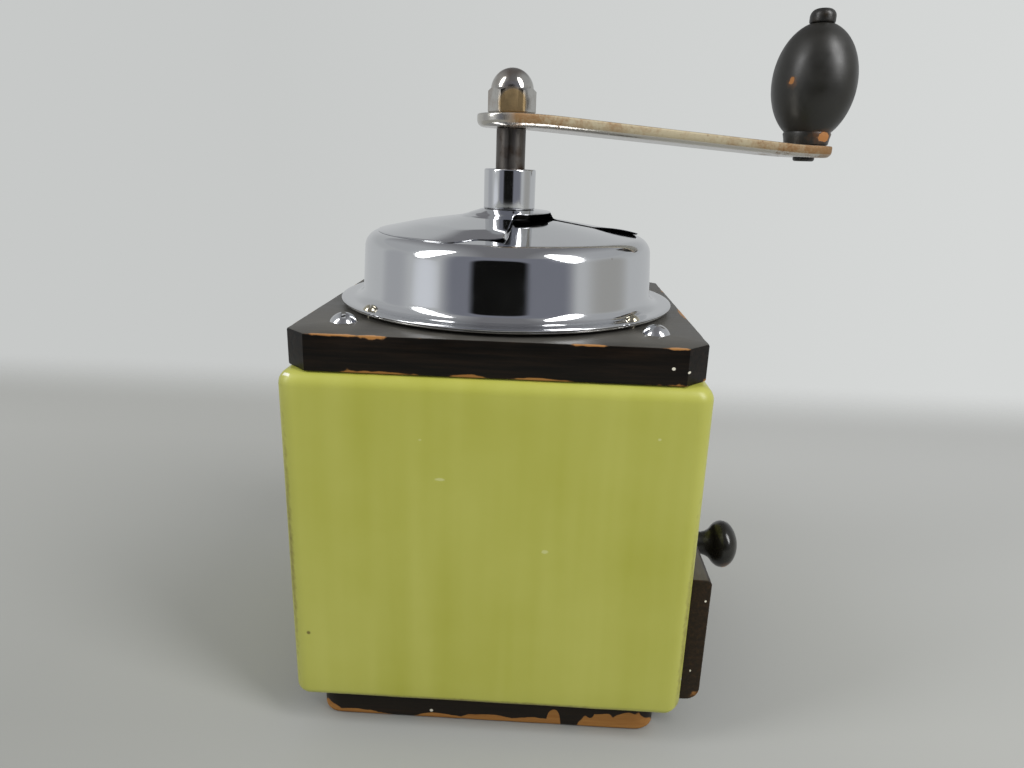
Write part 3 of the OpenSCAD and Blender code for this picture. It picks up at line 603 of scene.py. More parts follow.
@dataclass(frozen=True)
class WornNickel(Finish):
    """Nickel-plated bar steel whose plating has worn to cream with brown rust speckle.

    Attributes:
        turn: Direction of the arm from +X in degrees.
        start: Distance along the arm where the edges lose their plating.
        palest: Distance along the arm where they are palest.
        under: Factor by which the lower face's slope counts as that of the upper face.
    """

    bright: str = "#C9C6BF"
    cream: str = "#A99E82"
    brown: str = "#86643C"
    rust: str = "#553A1E"
    turn: float = 21.0
    start: float = -4.0
    palest: float = 50.0
    under: float = -1.9
    # Widths of the patterns; the finest rust specks are drawn as coarse as they need to show
    speck: float = 1.1
    blot: float = 7.0

    def shade(self, tree: NodeTree, place: NodeSocket) -> Inputs:
        """Bright plating at the hub and on the flats; sawn edges cream to brown with dark specks.

        Args:
            tree: The material's node tree.
            place: Object coordinates.

        Returns:
            Inputs of the Principled shader.
        """
        angle = math.radians(self.turn)
        way = (math.cos(angle) / MM, math.sin(angle) / MM, 0.0)
        along = add_node(tree, "VectorMath", {0: place, 1: way}, "Value", operation="DOT_PRODUCT")
        facing = add_node(tree, "NewGeometry", out="Normal")
        upward = add_node(tree, "SeparateXYZ", {0: facing}, "Z")
        downward = chained(tree, "MULTIPLY", (upward, self.under))
        flat = chained(tree, "MAXIMUM", (upward, downward))
        specks = add_node(tree, "TexNoise", pattern(place, self.speck, 5.0, Roughness=0.7))
        blots = add_node(tree, "TexNoise", pattern(place, self.blot, 3.0))
        edge = add_node(tree, "MapRange", span(flat, 0.75, 0.95, 1.0, 0.12))
        aged = add_node(tree, "MapRange", span(along, self.start - 2, self.start + 2))
        off = chained(tree, "SUBTRACT", (along, self.palest))
        off = add_node(tree, "Math", {0: off}, operation="ABSOLUTE")
        ends = add_node(tree, "MapRange", span(off, 18.0, 62.0, -0.15, 0.42))
        mottle = chained(tree, "ADD", (blots, specks, ends))
        browned = add_node(tree, "MapRange", span(mottle, 0.85, 1.35))
        pitted = add_node(tree, "MapRange", span(specks, 0.60, 0.72, end=0.8))
        spots = add_node(tree, "MapRange", span(mottle, 1.22, 1.4, end=0.7))
        bared = [chained(tree, "MULTIPLY", (share, aged)) for share in (edge, spots)]
        worn = chained(tree, "MAXIMUM", bared)
        steel = layered(tree, self.cream, (browned, self.brown), (pitted, self.rust))
        return {
            "Base Color": layered(tree, self.bright, (worn, steel)),
            "Metallic": add_node(tree, "MapRange", span(worn, 0.0, 1.0, 1.0, 0.25)),
            "Roughness": add_node(tree, "MapRange", span(worn, 0.0, 1.0, 0.16, 0.55)),
            "Normal": add_node(tree, "Bump", {"Height": specks, "Strength": 0.2, "Distance": 0.0002}),
        }


@dataclass(frozen=True)
class PlainMetal(Finish):
    """Machined, cast or turned metal with tool marks and stains."""

    colour: str = "#635F5B"
    stain: str = "#3B2A1C"
    metallic: float = 1.0
    rough: float = 0.38
    # Widths of the patterns; tool marks are finer and are drawn as coarse as they need to show
    mark: float = 0.8
    blot: float = 4.5
    depth: float = 0.15
    stained: float = 0.62
    stretch: Corner = (1.0, 1.0, 1.0)

    def shade(self, tree: NodeTree, place: NodeSocket) -> Inputs:
        """Even metal with fine marks and darker stains.

        Args:
            tree: The material's node tree.
            place: Object coordinates.

        Returns:
            Inputs of the Principled shader.
        """
        marks_at = add_node(tree, "Mapping", {"Vector": place, "Scale": self.stretch})
        marks = add_node(tree, "TexNoise", pattern(marks_at, self.mark, 4.0))
        blots = add_node(tree, "TexNoise", pattern(place, self.blot, 5.0))
        stain = add_node(tree, "MapRange", span(blots, self.stained - 0.12, self.stained + 0.1))
        smooth, dull = self.rough - 0.08, self.rough + 0.12
        return {
            "Base Color": layered(tree, self.colour, (stain, self.stain)),
            "Metallic": self.metallic,
            "Roughness": add_node(tree, "MapRange", span(marks, 0.3, 0.7, smooth, dull)),
            "Normal": add_node(tree, "Bump", {"Height": marks, "Strength": self.depth, "Distance": 0.0002}),
        }


def polar(radius: float, degrees: float, height: float) -> Vector:
    """The point at a radius, an angle and a height."""
    angle = math.radians(degrees)
    return Vector((radius * math.cos(angle), radius * math.sin(angle), height))


def rounded(path: Sequence[Corner], steps: int = 10) -> list[Vector]:
    """A flat path with its corners rounded.

    Args:
        path: Points as (across, up, radius of the corner).
        steps: Steps in each round.

    Returns:
        The path's points as 2-D vectors.
    """
    done = []
    for i, (across, up, radius) in enumerate(path):
        here = Vector((across, up))
        if radius <= 0 or i in (0, len(path) - 1):
            done.append(here)
            continue
        back = (Vector(path[i - 1][:2]) - here).normalized()
        ahead = (Vector(path[i + 1][:2]) - here).normalized()
        half = math.acos(max(-1.0, min(1.0, back.dot(ahead)))) / 2
        centre = here + (back + ahead).normalized() * radius / math.sin(half)
        start = here + back * radius / math.tan(half) - centre
        end = here + ahead * radius / math.tan(half) - centre
        first = math.atan2(start.y, start.x)
        turn = math.atan2(start.x * end.y - start.y * end.x, start.dot(end))
        for k in range(steps + 1):
            angle = first + turn * k / steps
            done.append(centre + radius * Vector((math.cos(angle), math.sin(angle))))
    return done


def shifted(path: Sequence[Vector], distance: float) -> list[Vector]:
    """The path moved to its left by a distance.

    Args:
        path: Points of the path.
        distance: How far it moves.

    Returns:
        The moved points.
    """
    done = []
    for i, here in enumerate(path):
        back = path[max(i - 1, 0)]
        ahead = path[min(i + 1, len(path) - 1)]
        before = (here - back if i else ahead - here).normalized()
        after = (ahead - here if i < len(path) - 1 else here - back).normalized()
        lefts = Vector((-before.y, before.x)) + Vector((-after.y, after.x))
        done.append(here + lefts * distance / (1 + before.dot(after)))
    return done


def finer(path: Sequence[Vector], longest: float) -> list[Vector]:
    """The path with its long stretches divided.

    Args:
        path: Points of the path.
        longest: Longest stretch that is left.

    Returns:
        All its points.
    """
    done = [path[0]]
    for here, there in zip(path, path[1:]):
        parts = max(1, math.ceil((there - here).length / longest))
        done += [here.lerp(there, k / parts) for k in range(1, parts + 1)]
    return done


def full_turn(steps: int, *extra: float) -> list[float]:
    """Angles in degrees round a full turn, with extra ones among them.

    Args:
        steps: Even steps of the turn.
        extra: Angles that have to be there.

    Returns:
        The sorted angles.
    """
    even = [360 * k / steps for k in range(steps)]
    kept = [a for a in even if all(abs(a - e % 360) > 120 / steps for e in extra)]
    return sorted(kept + [e % 360 for e in extra])


def turned(path: Sequence[Vector], angles: Sequence[float]) -> list[Row]:
    """Rows of a lathe-turned surface, one ring for each point of its profile, a single point on the axis.

    Args:
        path: Radii and heights of the profile.
        angles: Angles of a ring's points.

    Returns:
        The rows.
    """
    return [
        [polar(p.x, a, p.y) for a in angles] if p.x >= 1e-6 else [Vector((0, 0, p.y))] for p in path
    ]


def round_edge(radius: float, steps: int = 8) -> list[tuple[float, float]]:
    """Insets and heights up a lower edge that is rounded."""
    angles = [math.pi / 2 * k / steps for k in range(steps + 1)]
    return [(radius * (1 - math.sin(a)), radius * (1 - math.cos(a))) for a in angles]


def square_ring(half: float, radius: float, height: float, stations: Sequence[float], steps: int = 8) -> Row:
    """Points round a square with round corners, anticlockwise from the side at +X.

    Args:
        half: Half of the square's width.
        radius: Radius of its corners.
        height: Height of the ring.
        stations: Places along each straight side, as shares from -1 to 1.
        steps: Steps in each corner.

    Returns:
        The ring's points.
    """
    straight = half - radius
    side = [Vector((half, share * straight, height)) for share in stations]
    for k in range(1, steps):
        angle = math.pi / 2 * k / steps
        round_at = (straight + radius * math.cos(angle), straight + radius * math.sin(angle))
        side.append(Vector((*round_at, height)))
    return [Matrix.Rotation(quarter * math.pi / 2, 3, "Z") @ point for quarter in range(4) for point in side]


@contextmanager
def edited(mesh: Mesh) -> Iterator[BMesh]:
    """The mesh opened for edits, which are written back at the end.

    Args:
        mesh: The mesh.

    Yields:
        The mesh in its editable form.
    """
    work = bmesh.new()
    work.from_mesh(mesh)
    yield work
    work.to_mesh(mesh)
    work.free()


def solid(name: str, points: Sequence[Vector], faces: Sequence[Sequence[int]]) -> Mesh:
    """Mesh in metres from points in millimetres, none of them doubled or loose, its faces turned outwards.

    Args:
        name: The mesh's name.
        points: Its points in millimetres.
        faces: The numbers of each face's points.

    Returns:
        The mesh.
    """
    mesh = bpy.data.meshes.new(name)
    mesh.from_pydata([point * MM for point in points], [], faces)
    with edited(mesh) as work:
        bmesh.ops.remove_doubles(work, verts=work.verts, dist=1e-7)
        loose = [vert for vert in work.verts if not vert.link_faces]
        bmesh.ops.delete(work, geom=loose, context="VERTS")
        bmesh.ops.recalc_face_normals(work, faces=work.faces)
    return mesh


def loft(
    name: str,
    rows: Sequence[Row],
    closed: bool = False,
    capped: bool = False,
    skip: Callable[[Vector], bool] | None = None,
) -> Mesh:
    """Mesh through rows of points that each join their own start.

    Args:
        name: The mesh's name.
        rows: Rows of as many points each, or of one point on an axis, in millimetres.
        closed: Whether the last row joins the first.
        capped: Whether the first and last row are filled.
        skip: Tells from a face's middle whether to leave it out.

    Returns:
        The mesh.
    """
    points: list[Vector] = []
    index: list[list[int]] = []
    for row in rows:
        index.append(list(range(len(points), len(points) + len(row))))
        points += row
    faces: list[list[int]] = []
    for low, high in zip(index, index[1:] + index[:1] if closed else index[1:]):
        count = max(len(low), len(high))
        for k in range(count):
            n = (k + 1) % count
            face = [low[k], low[n]] if len(low) > 1 else [low[0]]
            face += [high[n], high[k]] if len(high) > 1 else [high[0]]
            middle = sum((points[i] for i in face), Vector()) / len(face)
            if skip is None or not skip(middle):
                faces.append(face)
    if capped:
        faces += [index[0], index[-1]]
    return solid(name, points, faces)


def joined(name: str, parts: Sequence[Mesh]) -> Mesh:
    """The parts as one mesh, merged where they meet and turned outwards.

    Args:
        name: The mesh's name.
        parts: The meshes, which are used up.

    Returns:
        The mesh.
    """
    work = bmesh.new()
    for part in parts:
        work.from_mesh(part)
        bpy.data.meshes.remove(part)
    bmesh.ops.remove_doubles(work, verts=work.verts, dist=1e-7)
    bmesh.ops.recalc_face_normals(work, faces=work.faces)
    mesh = bpy.data.meshes.new(name)
    work.to_mesh(mesh)
    work.free()
    return mesh


def linked(name: str, data: ID) -> Object:
    """A new object in the scene.

    Args:
        name: The object's name.
        data: Its mesh, lamp or camera.

    Returns:
        The object.
    """
    made = bpy.data.objects.new(name, data)
    bpy.context.scene.collection.objects.link(made)
    return made


def finished(holder: Object) -> Mesh:
    """A plain mesh of the object after its modifiers; the object itself goes.

    Args:
        holder: The object.

    Returns:
        The mesh.
    """
    done = bpy.data.meshes.new_from_object(holder.evaluated_get(bpy.context.evaluated_depsgraph_get()))
    holder.modifiers.clear()
    bpy.data.objects.remove(holder)
    return done


def refined(mesh: Mesh, *steps: tuple[str, dict]) -> Mesh:
    """The mesh after modifiers.

    Args:
        mesh: The mesh to finish.
        steps: Each modifier's kind and settings, in order.

    Returns:
        A plain mesh.
    """
    holder = linked(mesh.name, mesh)
    for kind, settings in steps:
        modifier = holder.modifiers.new(kind.title(), kind)
        for key, value in settings.items():
            setattr(modifier, key, value)
    return finished(holder)


def bevelled(width: float, segments: int, angle: float) -> tuple[str, dict]:
    """Modifier that rounds the edges over an angle."""
    limits = {"limit_method": "ANGLE", "angle_limit": math.radians(angle)}
    return "BEVEL", {"width": width * MM, "segments": segments, **limits}


def sheet_steps(thickness: float, bevel: float) -> Steps:
    """Modifiers that give a sheet its thickness about its middle and ease its cut edges."""
    return ("SOLIDIFY", {"thickness": thickness * MM, "offset": 0.0}), bevelled(bevel, 2, 50)


def eased(width: float) -> Steps:
    """Modifiers that round a block's edges and keep its faces flat."""
    return bevelled(width, 3, 40), ("WEIGHTED_NORMAL", {"keep_sharp": True})


def placed(mesh: Mesh, matrix: Matrix) -> Mesh:
    """The mesh moved by a matrix whose shift is in millimetres.

    Args:
        mesh: The mesh.
        matrix: The move.

    Returns:
        The same mesh.
    """
    matrix = matrix.copy()
    matrix.translation *= MM
    mesh.transform(matrix)
    return mesh


def mounted(mesh: Mesh, finish: Finish, body: Body, *nodes: str, sharp: float | None = 32.0) -> None:
    """Puts a finished mesh on its body, in the place of CAD nodes.

    Args:
        mesh: The mesh, in place.
        finish: Its finish.
        body: The body that it rides on.
        nodes: The CAD nodes that it stands for.
        sharp: Edges over this angle stay sharp; None where the mesh has its own normals.
    """
    piece = linked(mesh.name, mesh)
    mesh.materials.clear()
    mesh.materials.append(finish.material())
    mesh.polygons.foreach_set("use_smooth", [True] * len(mesh.polygons))
    if sharp is not None:
        mesh.set_sharp_from_angle(angle=math.radians(sharp))
    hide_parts(*nodes)
    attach(piece, body.value)
    LOG.info("%s: %d faces on %s", piece.name, len(mesh.polygons), body.value)


def block(name: str, low: Corner, high: Corner, bevel: float) -> Mesh:
    """A sawn wooden block with eased edges, between two corners in millimetres.

    Args:
        name: The mesh's name.
        low: Its lower corner.
        high: Its upper corner.
        bevel: Width of the eased edges.

    Returns:
        The mesh.
    """
    ring = [(low[0], low[1]), (high[0], low[1]), (high[0], high[1]), (low[0], high[1])]
    rows = [[Vector((x, y, z)) for x, y in ring] for z in (low[2], high[2])]
    return refined(loft(name, rows, capped=True), *eased(bevel))


@dataclass(frozen=True)
class ScrewKind:
    """A slotted round-head screw.

    Attributes:
        head: Radius of the head.
        shank: Radius of the shank.
        length: Length of the shank.
        rise: Height of the head as a share of its radius.
        slot: The slot's width as a share of the head's radius, and its depth as a share of the height.
    """

    head: float
    shank: float
    length: float
    rise: float = 0.62
    slot: tuple[float, float] = (0.3, 0.45)

    def tree(self) -> NodeTree:
        """Geometry nodes that put one such screw on every point of a mesh, turned by its own angle.

        Returns:
            The node group, with the screw's sizes and finish as inputs.
        """
        group = bpy.data.node_groups.get("Slotted screws")
        if group is not None:
            return group
        group = bpy.data.node_groups.new("Slotted screws", "GeometryNodeTree")
        sizes = ("Head radius", "Head height", "Slot width", "Slot depth", "Shank radius", "Shank length")
        sockets = [("Geometry", "Geometry"), *((size, "Float") for size in sizes), ("Finish", "Material")]
        for label, kind in sockets:
            group.interface.new_socket(label, in_out="INPUT", socket_type=f"NodeSocket{kind}")
        group.interface.new_socket("Geometry", in_out="OUTPUT", socket_type="NodeSocketGeometry")
        given = add_node(group, "NodeGroupInput").node.outputs
        head, height = given["Head radius"], given["Head height"]
        square = chained(group, "MULTIPLY", (head, head))
        squares = add_node(group, "Math", {0: height, 1: height, 2: square}, operation="MULTIPLY_ADD")
        factors = ((height, 2.0), (head, 3.0), (given["Slot depth"], 2.0), (given["Shank length"], -0.5))
        twice, wide, deep, below = (chained(group, "MULTIPLY", pair) for pair in factors)
        ball = chained(group, "DIVIDE", (squares, twice))
        drop = chained(group, "SUBTRACT", (height, ball))
        size = add_node(group, "CombineXYZ", {0: wide, 1: given["Slot width"], 2: deep})
        sphere = add_node(group, "GeometryNodeMeshUVSphere", {"Segments": 64, "Rings": 48, "Radius": ball})
        disc = add_node(group, "GeometryNodeMeshCylinder", {"Vertices": 64, "Radius": head, "Depth": twice})
        cut = add_node(group, "GeometryNodeMeshCube", {"Size": size})
        rod = {"Vertices": 24, "Radius": given["Shank radius"], "Depth": given["Shank length"]}
        shank = add_node(group, "GeometryNodeMeshCylinder", rod)
        sphere, disc, cut, shank = (
            add_node(
                group,
                "GeometryNodeTransform",
                {"Geometry": form, "Translation": add_node(group, "CombineXYZ", {2: up})},
            )
            for form, up in ((sphere, drop), (disc, height), (cut, height), (shank, below))
        )
        carve = "GeometryNodeMeshBoolean"
        dome = add_node(group, carve, {"Mesh 2": sphere}, operation="INTERSECT", solver="EXACT")
        feed(group, dome.node, {"Mesh 2": disc})
        slotted = add_node(
            group, carve, {"Mesh 1": dome, "Mesh 2": cut}, operation="DIFFERENCE", solver="EXACT"
        )
        screw = add_node(group, "GeometryNodeJoinGeometry", {"Geometry": slotted})
        feed(group, screw.node, {"Geometry": shank})
        turn = add_node(group, "GeometryNodeInputNamedAttribute", {"Name": "turn"}, data_type="FLOAT_VECTOR")
        strewn = {"Points": given["Geometry"], "Instance": screw, "Rotation": turn}
        spread = add_node(group, "GeometryNodeInstanceOnPoints", strewn)
        real = add_node(group, "GeometryNodeRealizeInstances", {0: spread})
        dressed = add_node(group, "GeometryNodeSetMaterial", {"Geometry": real, "Material": given["Finish"]})
        feed(group, group.nodes.new("NodeGroupOutput"), {"Geometry": dressed})
        return group

    def screws(self, name: str, places: Sequence[Corner], turns: Sequence[Corner], finish: Finish) -> Mesh:
        """All screws of this kind on one body, as one mesh.

        Args:
            name: The mesh's name.
            places: Middle of each head's underside.
            turns: Turn of each screw about X, Y and Z in degrees.
            finish: The screws' finish.

        Returns:
            The mesh.
        """
        points = bpy.data.meshes.new(name)
        points.from_pydata([Vector(place) * MM for place in places], [], [])
        angles = points.attributes.new("turn", "FLOAT_VECTOR", "POINT")
        angles.data.foreach_set("vector", [math.radians(a) for turn in turns for a in turn])
        holder = linked(name, points)
        modifier = holder.modifiers.new("Screws", "NODES")
        modifier.node_group = self.tree()
        height = self.rise * self.head
        wide, deep = self.slot
        values = {
            "Head radius": self.head * MM,
            "Head height": height * MM,
            "Slot width": wide * self.head * MM,
            "Slot depth": deep * height * MM,
            "Shank radius": self.shank * MM,
            "Shank length": self.length * MM,
            "Finish": finish.material(),
        }
        for item in modifier.node_group.interface.items_tree:
            if item.name in values:
                modifier[item.identifier] = values[item.name]
        done = finished(holder)
        done.name = name
        return done


CHROME = ChromePlate("Polished chrome", "chrome")
RAW_BEECH = BareBeech("Raw beech", "bare_wood")
RAW_BEECH_ACROSS = BareBeech("Raw beech across", "bare_wood", grain=Grain.ALONG_Y)
DARK_STEEL = PlainMetal("Dark steel", "dark_steel", stretch=(1.0, 1.0, 0.1))
BLACK_STEEL = PlainMetal(
    "Blackened steel", "black_steel", colour="#1D1C1A", stain="#2C241A", metallic=0.0, rough=0.34, depth=0.08
)
CAST_IRON = PlainMetal(
    "Cast iron", "cast_iron", colour="#5B5753", stain="#3E3229", metallic=0.9, rough=0.5, mark=0.6, depth=0.35
)
BRONZE = PlainMetal(
    "Turned bronze", "bronze", colour="#B08A50", stain="#6E5127", rough=0.34, stretch=(1.0, 1.0, 0.08)
)


@dataclass
class Casing:
    """Base board, sheet body and top board with its screws."""

    base_half: float = 51.4
    base_top: float = 11.9
    base_corner: float = 6.0
    base_round: float = 1.5
    body_half: float = 57.495
    body_top: float = 112.1
    body_corner: float = 5.0
    body_round: float = 4.0
    lower_round: float = 2.6
    lower_dip: float = 0.7
    sheet: float = 0.8
    lip: float = 42.5
    opening_half: float = 39.5
    opening_low: float = 12.9
    opening_high: float = 45.25
    relief: tuple[float, float] = (5.0, 3.0)
    top_half: float = 55.65
    top_face: float = 122.2
    top_corner: float = 6.0
    top_ease: float = 0.5
    hole: float = 44.0
    hole_ease: float = 1.0
    screw_at: tuple[float, float] = (43.2, 39.0)
    folds: tuple[float, ...] = (-52.5, -26.25, 2.917, 32.083, 52.5)
    fold_depth: float = 0.10

    def base_finish(self) -> BlackStain:
        """Stain of the base board: bare along its lower edge and on the drawer's side.

        Returns:
            The finish.
        """
        return BlackStain(
            "Black stained base",
            "black_wood",
            half=(self.base_half, self.base_half),
            levels=(0.0, self.base_top + 20),
            reach=0.9,
            amount=0.75,
            rub=9.0,
            black="#1D1914",
            bare=(
                Spot((34.5, -51.4, 2.5), (9.0, 12.0, 11.0)),
                Spot((43.5, -51.4, 2.5), (10.5, 14.0, 10.0)),
                Spot((20.6, -51.4, 3.0), (3.4, 8.0, 8.0)),
                Spot((14.0, -51.4, -0.6), (13.0, 8.0, 5.6)),
                Spot((1.0, -51.4, -0.6), (15.0, 8.0, 5.2)),
                Spot((-14.0, -51.4, -0.6), (11.5, 8.0, 4.2)),
                Spot((-41.0, -51.4, -0.6), (12.5, 8.0, 3.8)),
                Spot((-49.0, -50.0, 0.4), (5.5, 6.0, 5.4)),
                Spot((51.4, 20.0, 1.0), (8.0, 26.0, 5.0)),
                Spot((-20.0, 51.4, 1.0), (24.0, 8.0, 4.0)),
            ),
            kept=(
                Spot((25.2, -51.4, 4.0), (3.4, 8.0, 14.0)),
                Spot((33.0, -51.4, 6.4), (5.0, 6.0, 1.5)),
                Spot((31.8, -51.4, 5.8), (1.7, 6.0, 3.0)),
                Spot((50.2, -50.4, 6.8), (4.2, 5.0, 4.2)),
            ),
            flecks=(Spot((-17.1, -51.4, 3.2), (0.9, 2.0, 0.8)),),
        )

    def top_finish(self) -> BlackStain:
        """Stain of the top board: rubbed along its edges where the photograph shows it.

        Returns:
            The finish.
        """
        front = -self.top_half
        return BlackStain(
            "Black stained top",
            "black_wood",
            half=(self.top_half, self.top_half),
            levels=(self.body_top, self.top_face),
            reach=1.3,
            amount=0.42,
            bare=(
                Spot((-43.5, front, 122.4), (10.0, 2.6, 1.2)),
                Spot((24.5, front, 122.2), (7.0, 2.2, 1.0)),
                Spot((47.0, front, 122.2), (6.5, 2.6, 1.2)),
                Spot((-28.0, front, 112.4), (14.0, 3.0, 0.9)),
                Spot((-7.0, front, 112.4), (9.0, 3.0, 1.5)),
                Spot((12.0, front, 112.4), (15.0, 3.0, 0.9)),
                Spot((55.0, -10.0, 122.2), (2.4, 14.0, 1.4)),
                Spot((-55.0, 16.0, 122.2), (2.4, 12.0, 1.4)),
            ),
            flecks=(Spot((45.9, front, 116.8), (0.8, 2.0, 0.7)), Spot((50.1, front, 115.9), (0.9, 2.0, 0.6))),
        )

    def paint(self) -> GreenEnamel:
        """Enamel of the body, with the marks that the photograph shows.

        Returns:
            The finish.
        """
        front = -self.body_half
        return GreenEnamel(
            "Green enamel",
            "green_paint",
            scuffs=(
                Spot((-13.6, front, 83.8), (3.2, 3.0, 0.9)),
                Spot((15.4, front, 63.7), (2.0, 3.0, 1.2)),
                Spot((-18.9, front, 95.0), (1.2, 3.0, 0.7)),
                Spot((43.8, front, 98.1), (1.2, 3.0, 0.8)),
            ),
            chips=(
                Spot((-53.5, -54.5, 110.6), (3.2, 3.2, 1.6)),
                Spot((53.8, -54.0, 109.8), (3.0, 3.4, 1.8)),
                Spot((54.5, 54.0, 110.0), (2.6, 3.0, 1.8)),
            ),
            stains=(
                Spot((-56.5, -56.5, 60.0), (2.6, 2.6, 70.0)),
                Spot((0.0, front, 12.0), (80.0, 6.0, 2.0)),
                Spot((57.0, -56.5, 40.0), (2.4, 3.0, 70.0)),
            ),
        )

    def base_board(self) -> None:
        """Base board with its rounded, rubbed lower edge."""
        stations = [k / 14 for k in range(-14, 15)]
        ledges = round_edge(self.base_round)
        ledges += [(0.0, self.base_top - 0.7), (0.2, self.base_top - 0.2), (0.7, self.base_top)]
        rings = []
        for inset, height in ledges:
            ring = square_ring(self.base_half - inset, self.base_corner - inset, height, stations)
            if 0 < height < self.base_round:
                shares = [1 - 0.004 * max(0.0, noise(p / 9)) - 0.002 * max(0.0, noise(p / 3)) for p in ring]
                ring = [Vector((*(p * share).xy, height)) for p, share in zip(ring, shares)]
            rings.append(ring)
        mesh = loft("base_board_piece", rings, capped=True)
        mounted(mesh, self.base_finish(), Body.CASING, "base_board")

    def body_shell(self) -> None:
        """Sheet body with rolled edges, drawer opening, corner cuts and faint upright folds."""
        middle = self.sheet / 2
        half = self.body_half - middle
        corner = self.body_corner - middle
        roll = self.body_round - middle
        hem = self.lower_round - middle
        low, high = self.base_top + middle, self.body_top - middle
        straight = half - corner
        edge = self.opening_half / straight
        stations = sorted({k / 18 for k in range(-18, 19)} - {-0.75, 0.75} | {-edge, edge})
        under = low - self.lower_dip
        sill = math.acos(1 - (self.opening_low - under) / hem)
        bend = [math.pi / 2 * k / 8 for k in range(9)]
        hemmed = sorted([a for a in bend if abs(a - sill) > 0.1] + [sill])
        profile = [(hem * (1 - math.sin(a)), under + hem * (1 - math.cos(a))) for a in hemmed]
        walls = 24
        for k in range(1, walls):
            profile.append((0.0, low + hem + (high - low - hem - roll) * k / walls))
        nearest = min(range(len(profile)), key=lambda i: abs(profile[i][1] - self.opening_high))
        profile[nearest] = (0.0, self.opening_high)
        profile += [(inset, high - rise) for inset, rise in reversed(round_edge(roll))]
        rows = [square_ring(self.lip, self.body_corner, low, stations)]
        for k in (0, 1):
            dip = self.lower_dip * k / 2
            rows.append(square_ring(half - hem - 2.2 + k, corner - hem + k / 2, low - dip, stations))
        for inset, height in profile:
            rows.append(self.folded(square_ring(half - inset, corner - inset, height, stations)))
        rows.append(square_ring(self.lip, self.body_corner, high, stations))

        def in_opening(place: Vector) -> bool:
            """Whether a face lies in the drawer's opening."""
            beside = place.x > self.lip and abs(place.y) < self.opening_half
            return beside and self.opening_low < place.z < self.opening_high

        mesh = loft("body_shell_piece", rows, skip=in_opening)
        self.cut_reliefs(mesh)
        mesh = refined(mesh, *sheet_steps(self.sheet, 0.2))
        mounted(mesh, self.paint(), Body.CASING, "body_shell", sharp=40)

    def folded(self, ring: Row) -> Row:
        """The ring with its sides, but for the drawer's, pressed in a little between faint upright folds.

        Args:
            ring: A ring of the plain body.

        Returns:
            The ring after pressing.
        """
        done = []
        for point in ring:
            inward = Vector()
            if abs(point.y) > abs(point.x):
                inward.y = -math.copysign(self.sag(point.x), point.y)
            elif point.x < 0:
                inward.x = self.sag(point.y)
            done.append(point + inward)
        return done

    def sag(self, along: float) -> float:
        """How far a side is pressed in at a place along it, which is nothing at its folds.

        Args:
            along: Distance from the side's middle.

        Returns:
            The depth.
        """
        for start, end in zip(self.folds, self.folds[1:]):
            if start < along < end:
                share = (along - start) / (end - start)
                return self.fold_depth * 4 * share * (1 - share)
        return 0.0

    def cut_reliefs(self, mesh: Mesh) -> None:
        """Cuts the slanted reliefs off the lower corners beside the drawer.

        Args:
            mesh: The body's sheet.
        """
        width, height = self.relief
        start = self.body_half - width
        with edited(mesh) as work:
            for side in (-1, 1):
                parts = {}
                for face in work.faces:
                    x, y, z = face.calc_center_median() / MM
                    if x > start - 0.1 and y * side > start and z < 20:
                        parts.update(dict.fromkeys((face, *face.edges, *face.verts)))
                bmesh.ops.bisect_plane(
                    work,
                    geom=list(parts),
                    plane_co=Vector((start, 0, self.base_top)) * MM,
                    plane_no=Vector((height, 0, -width)),
                    clear_outer=True,
                )

    def top_board(self) -> None:
        """Top board with its hole and knocked edges."""
        stations = [k / 22 for k in range(-22, 23)]
        ease = self.top_ease
        edges = [
            (ease, self.top_face),
            (0.30 * ease, self.top_face - 0.25 * ease),
            (0.0, self.top_face - ease),
            (0.0, (self.top_face + self.body_top) / 2),
            (0.0, self.body_top + ease),
            (0.30 * ease, self.body_top + 0.25 * ease),
            (ease, self.body_top),
        ]
        rows = []
        for inset, height in edges:
            ring = square_ring(self.top_half - inset, self.top_corner - 0.6 * inset, height, stations, 1)
            if 0 < inset or abs(height - (self.top_face + self.body_top) / 2) > 1:
                ring = [self.knocked(point) for point in ring]
            rows.append(ring)
        plain = square_ring(self.top_half, self.top_corner, 0.0, stations, 1)
        for radius, height in (
            (self.hole, self.body_top),
            (self.hole, self.top_face - self.hole_ease),
            (self.hole + self.hole_ease, self.top_face),
        ):
            rows.append([Vector((*(point.xy.normalized() * radius), height)) for point in plain])
        mesh = loft("top_board_piece", rows, closed=True)
        mounted(mesh, self.top_finish(), Body.CASING, "top_board", sharp=38)

    def knocked(self, point: Vector) -> Vector:
        """A point on an edge pushed in by old knocks.

        Args:
            point: A point of the plain edge.

        Returns:
            The point after the knocks.
        """
        dent = 0.35 * max(0.0, noise(point / 7)) ** 2 + 0.12 * max(0.0, noise(point / 2.3))
        share = 1 - dent / self.top_half
        return Vector((point.x * share, point.y * share, point.z))

    def top_screws(self) -> None:
        """Slotted screws that hold the top board, each turned as it was left."""
        kind = ScrewKind(head=3.9, shank=2.0, length=24.9)
        across, along = self.screw_at
        places = [(x * across, y * along, self.top_face) for x, y in ((-1, -1), (1, -1), (1, 1), (-1, 1))]
        turns = [(0.0, 0.0, angle) for angle in (103.0, 52.0, 75.0, 12.0)]
        finish = ChromePlate(
            "Chromed screw heads",
            "chrome",
            haze=0.16,
            pits=0.7,
            ripple=0.0,
            # Two of the screws get a dark mark at the slot: painted shade in the recess, with some grime
            grime_and_painted_light=tuple(Spot((x, y, z + 1.7), (0.9, 2.8, 1.6)) for x, y, z in places if x * y > 0),
        )
        mesh = kind.screws("top_screws_piece", places, turns, finish)
        mounted(mesh, finish, Body.CASING, "top_screws")

    def build(self) -> None:
        """Builds the casing's pieces."""
        self.base_board()
        self.body_shell()
        self.top_board()
        self.top_screws()


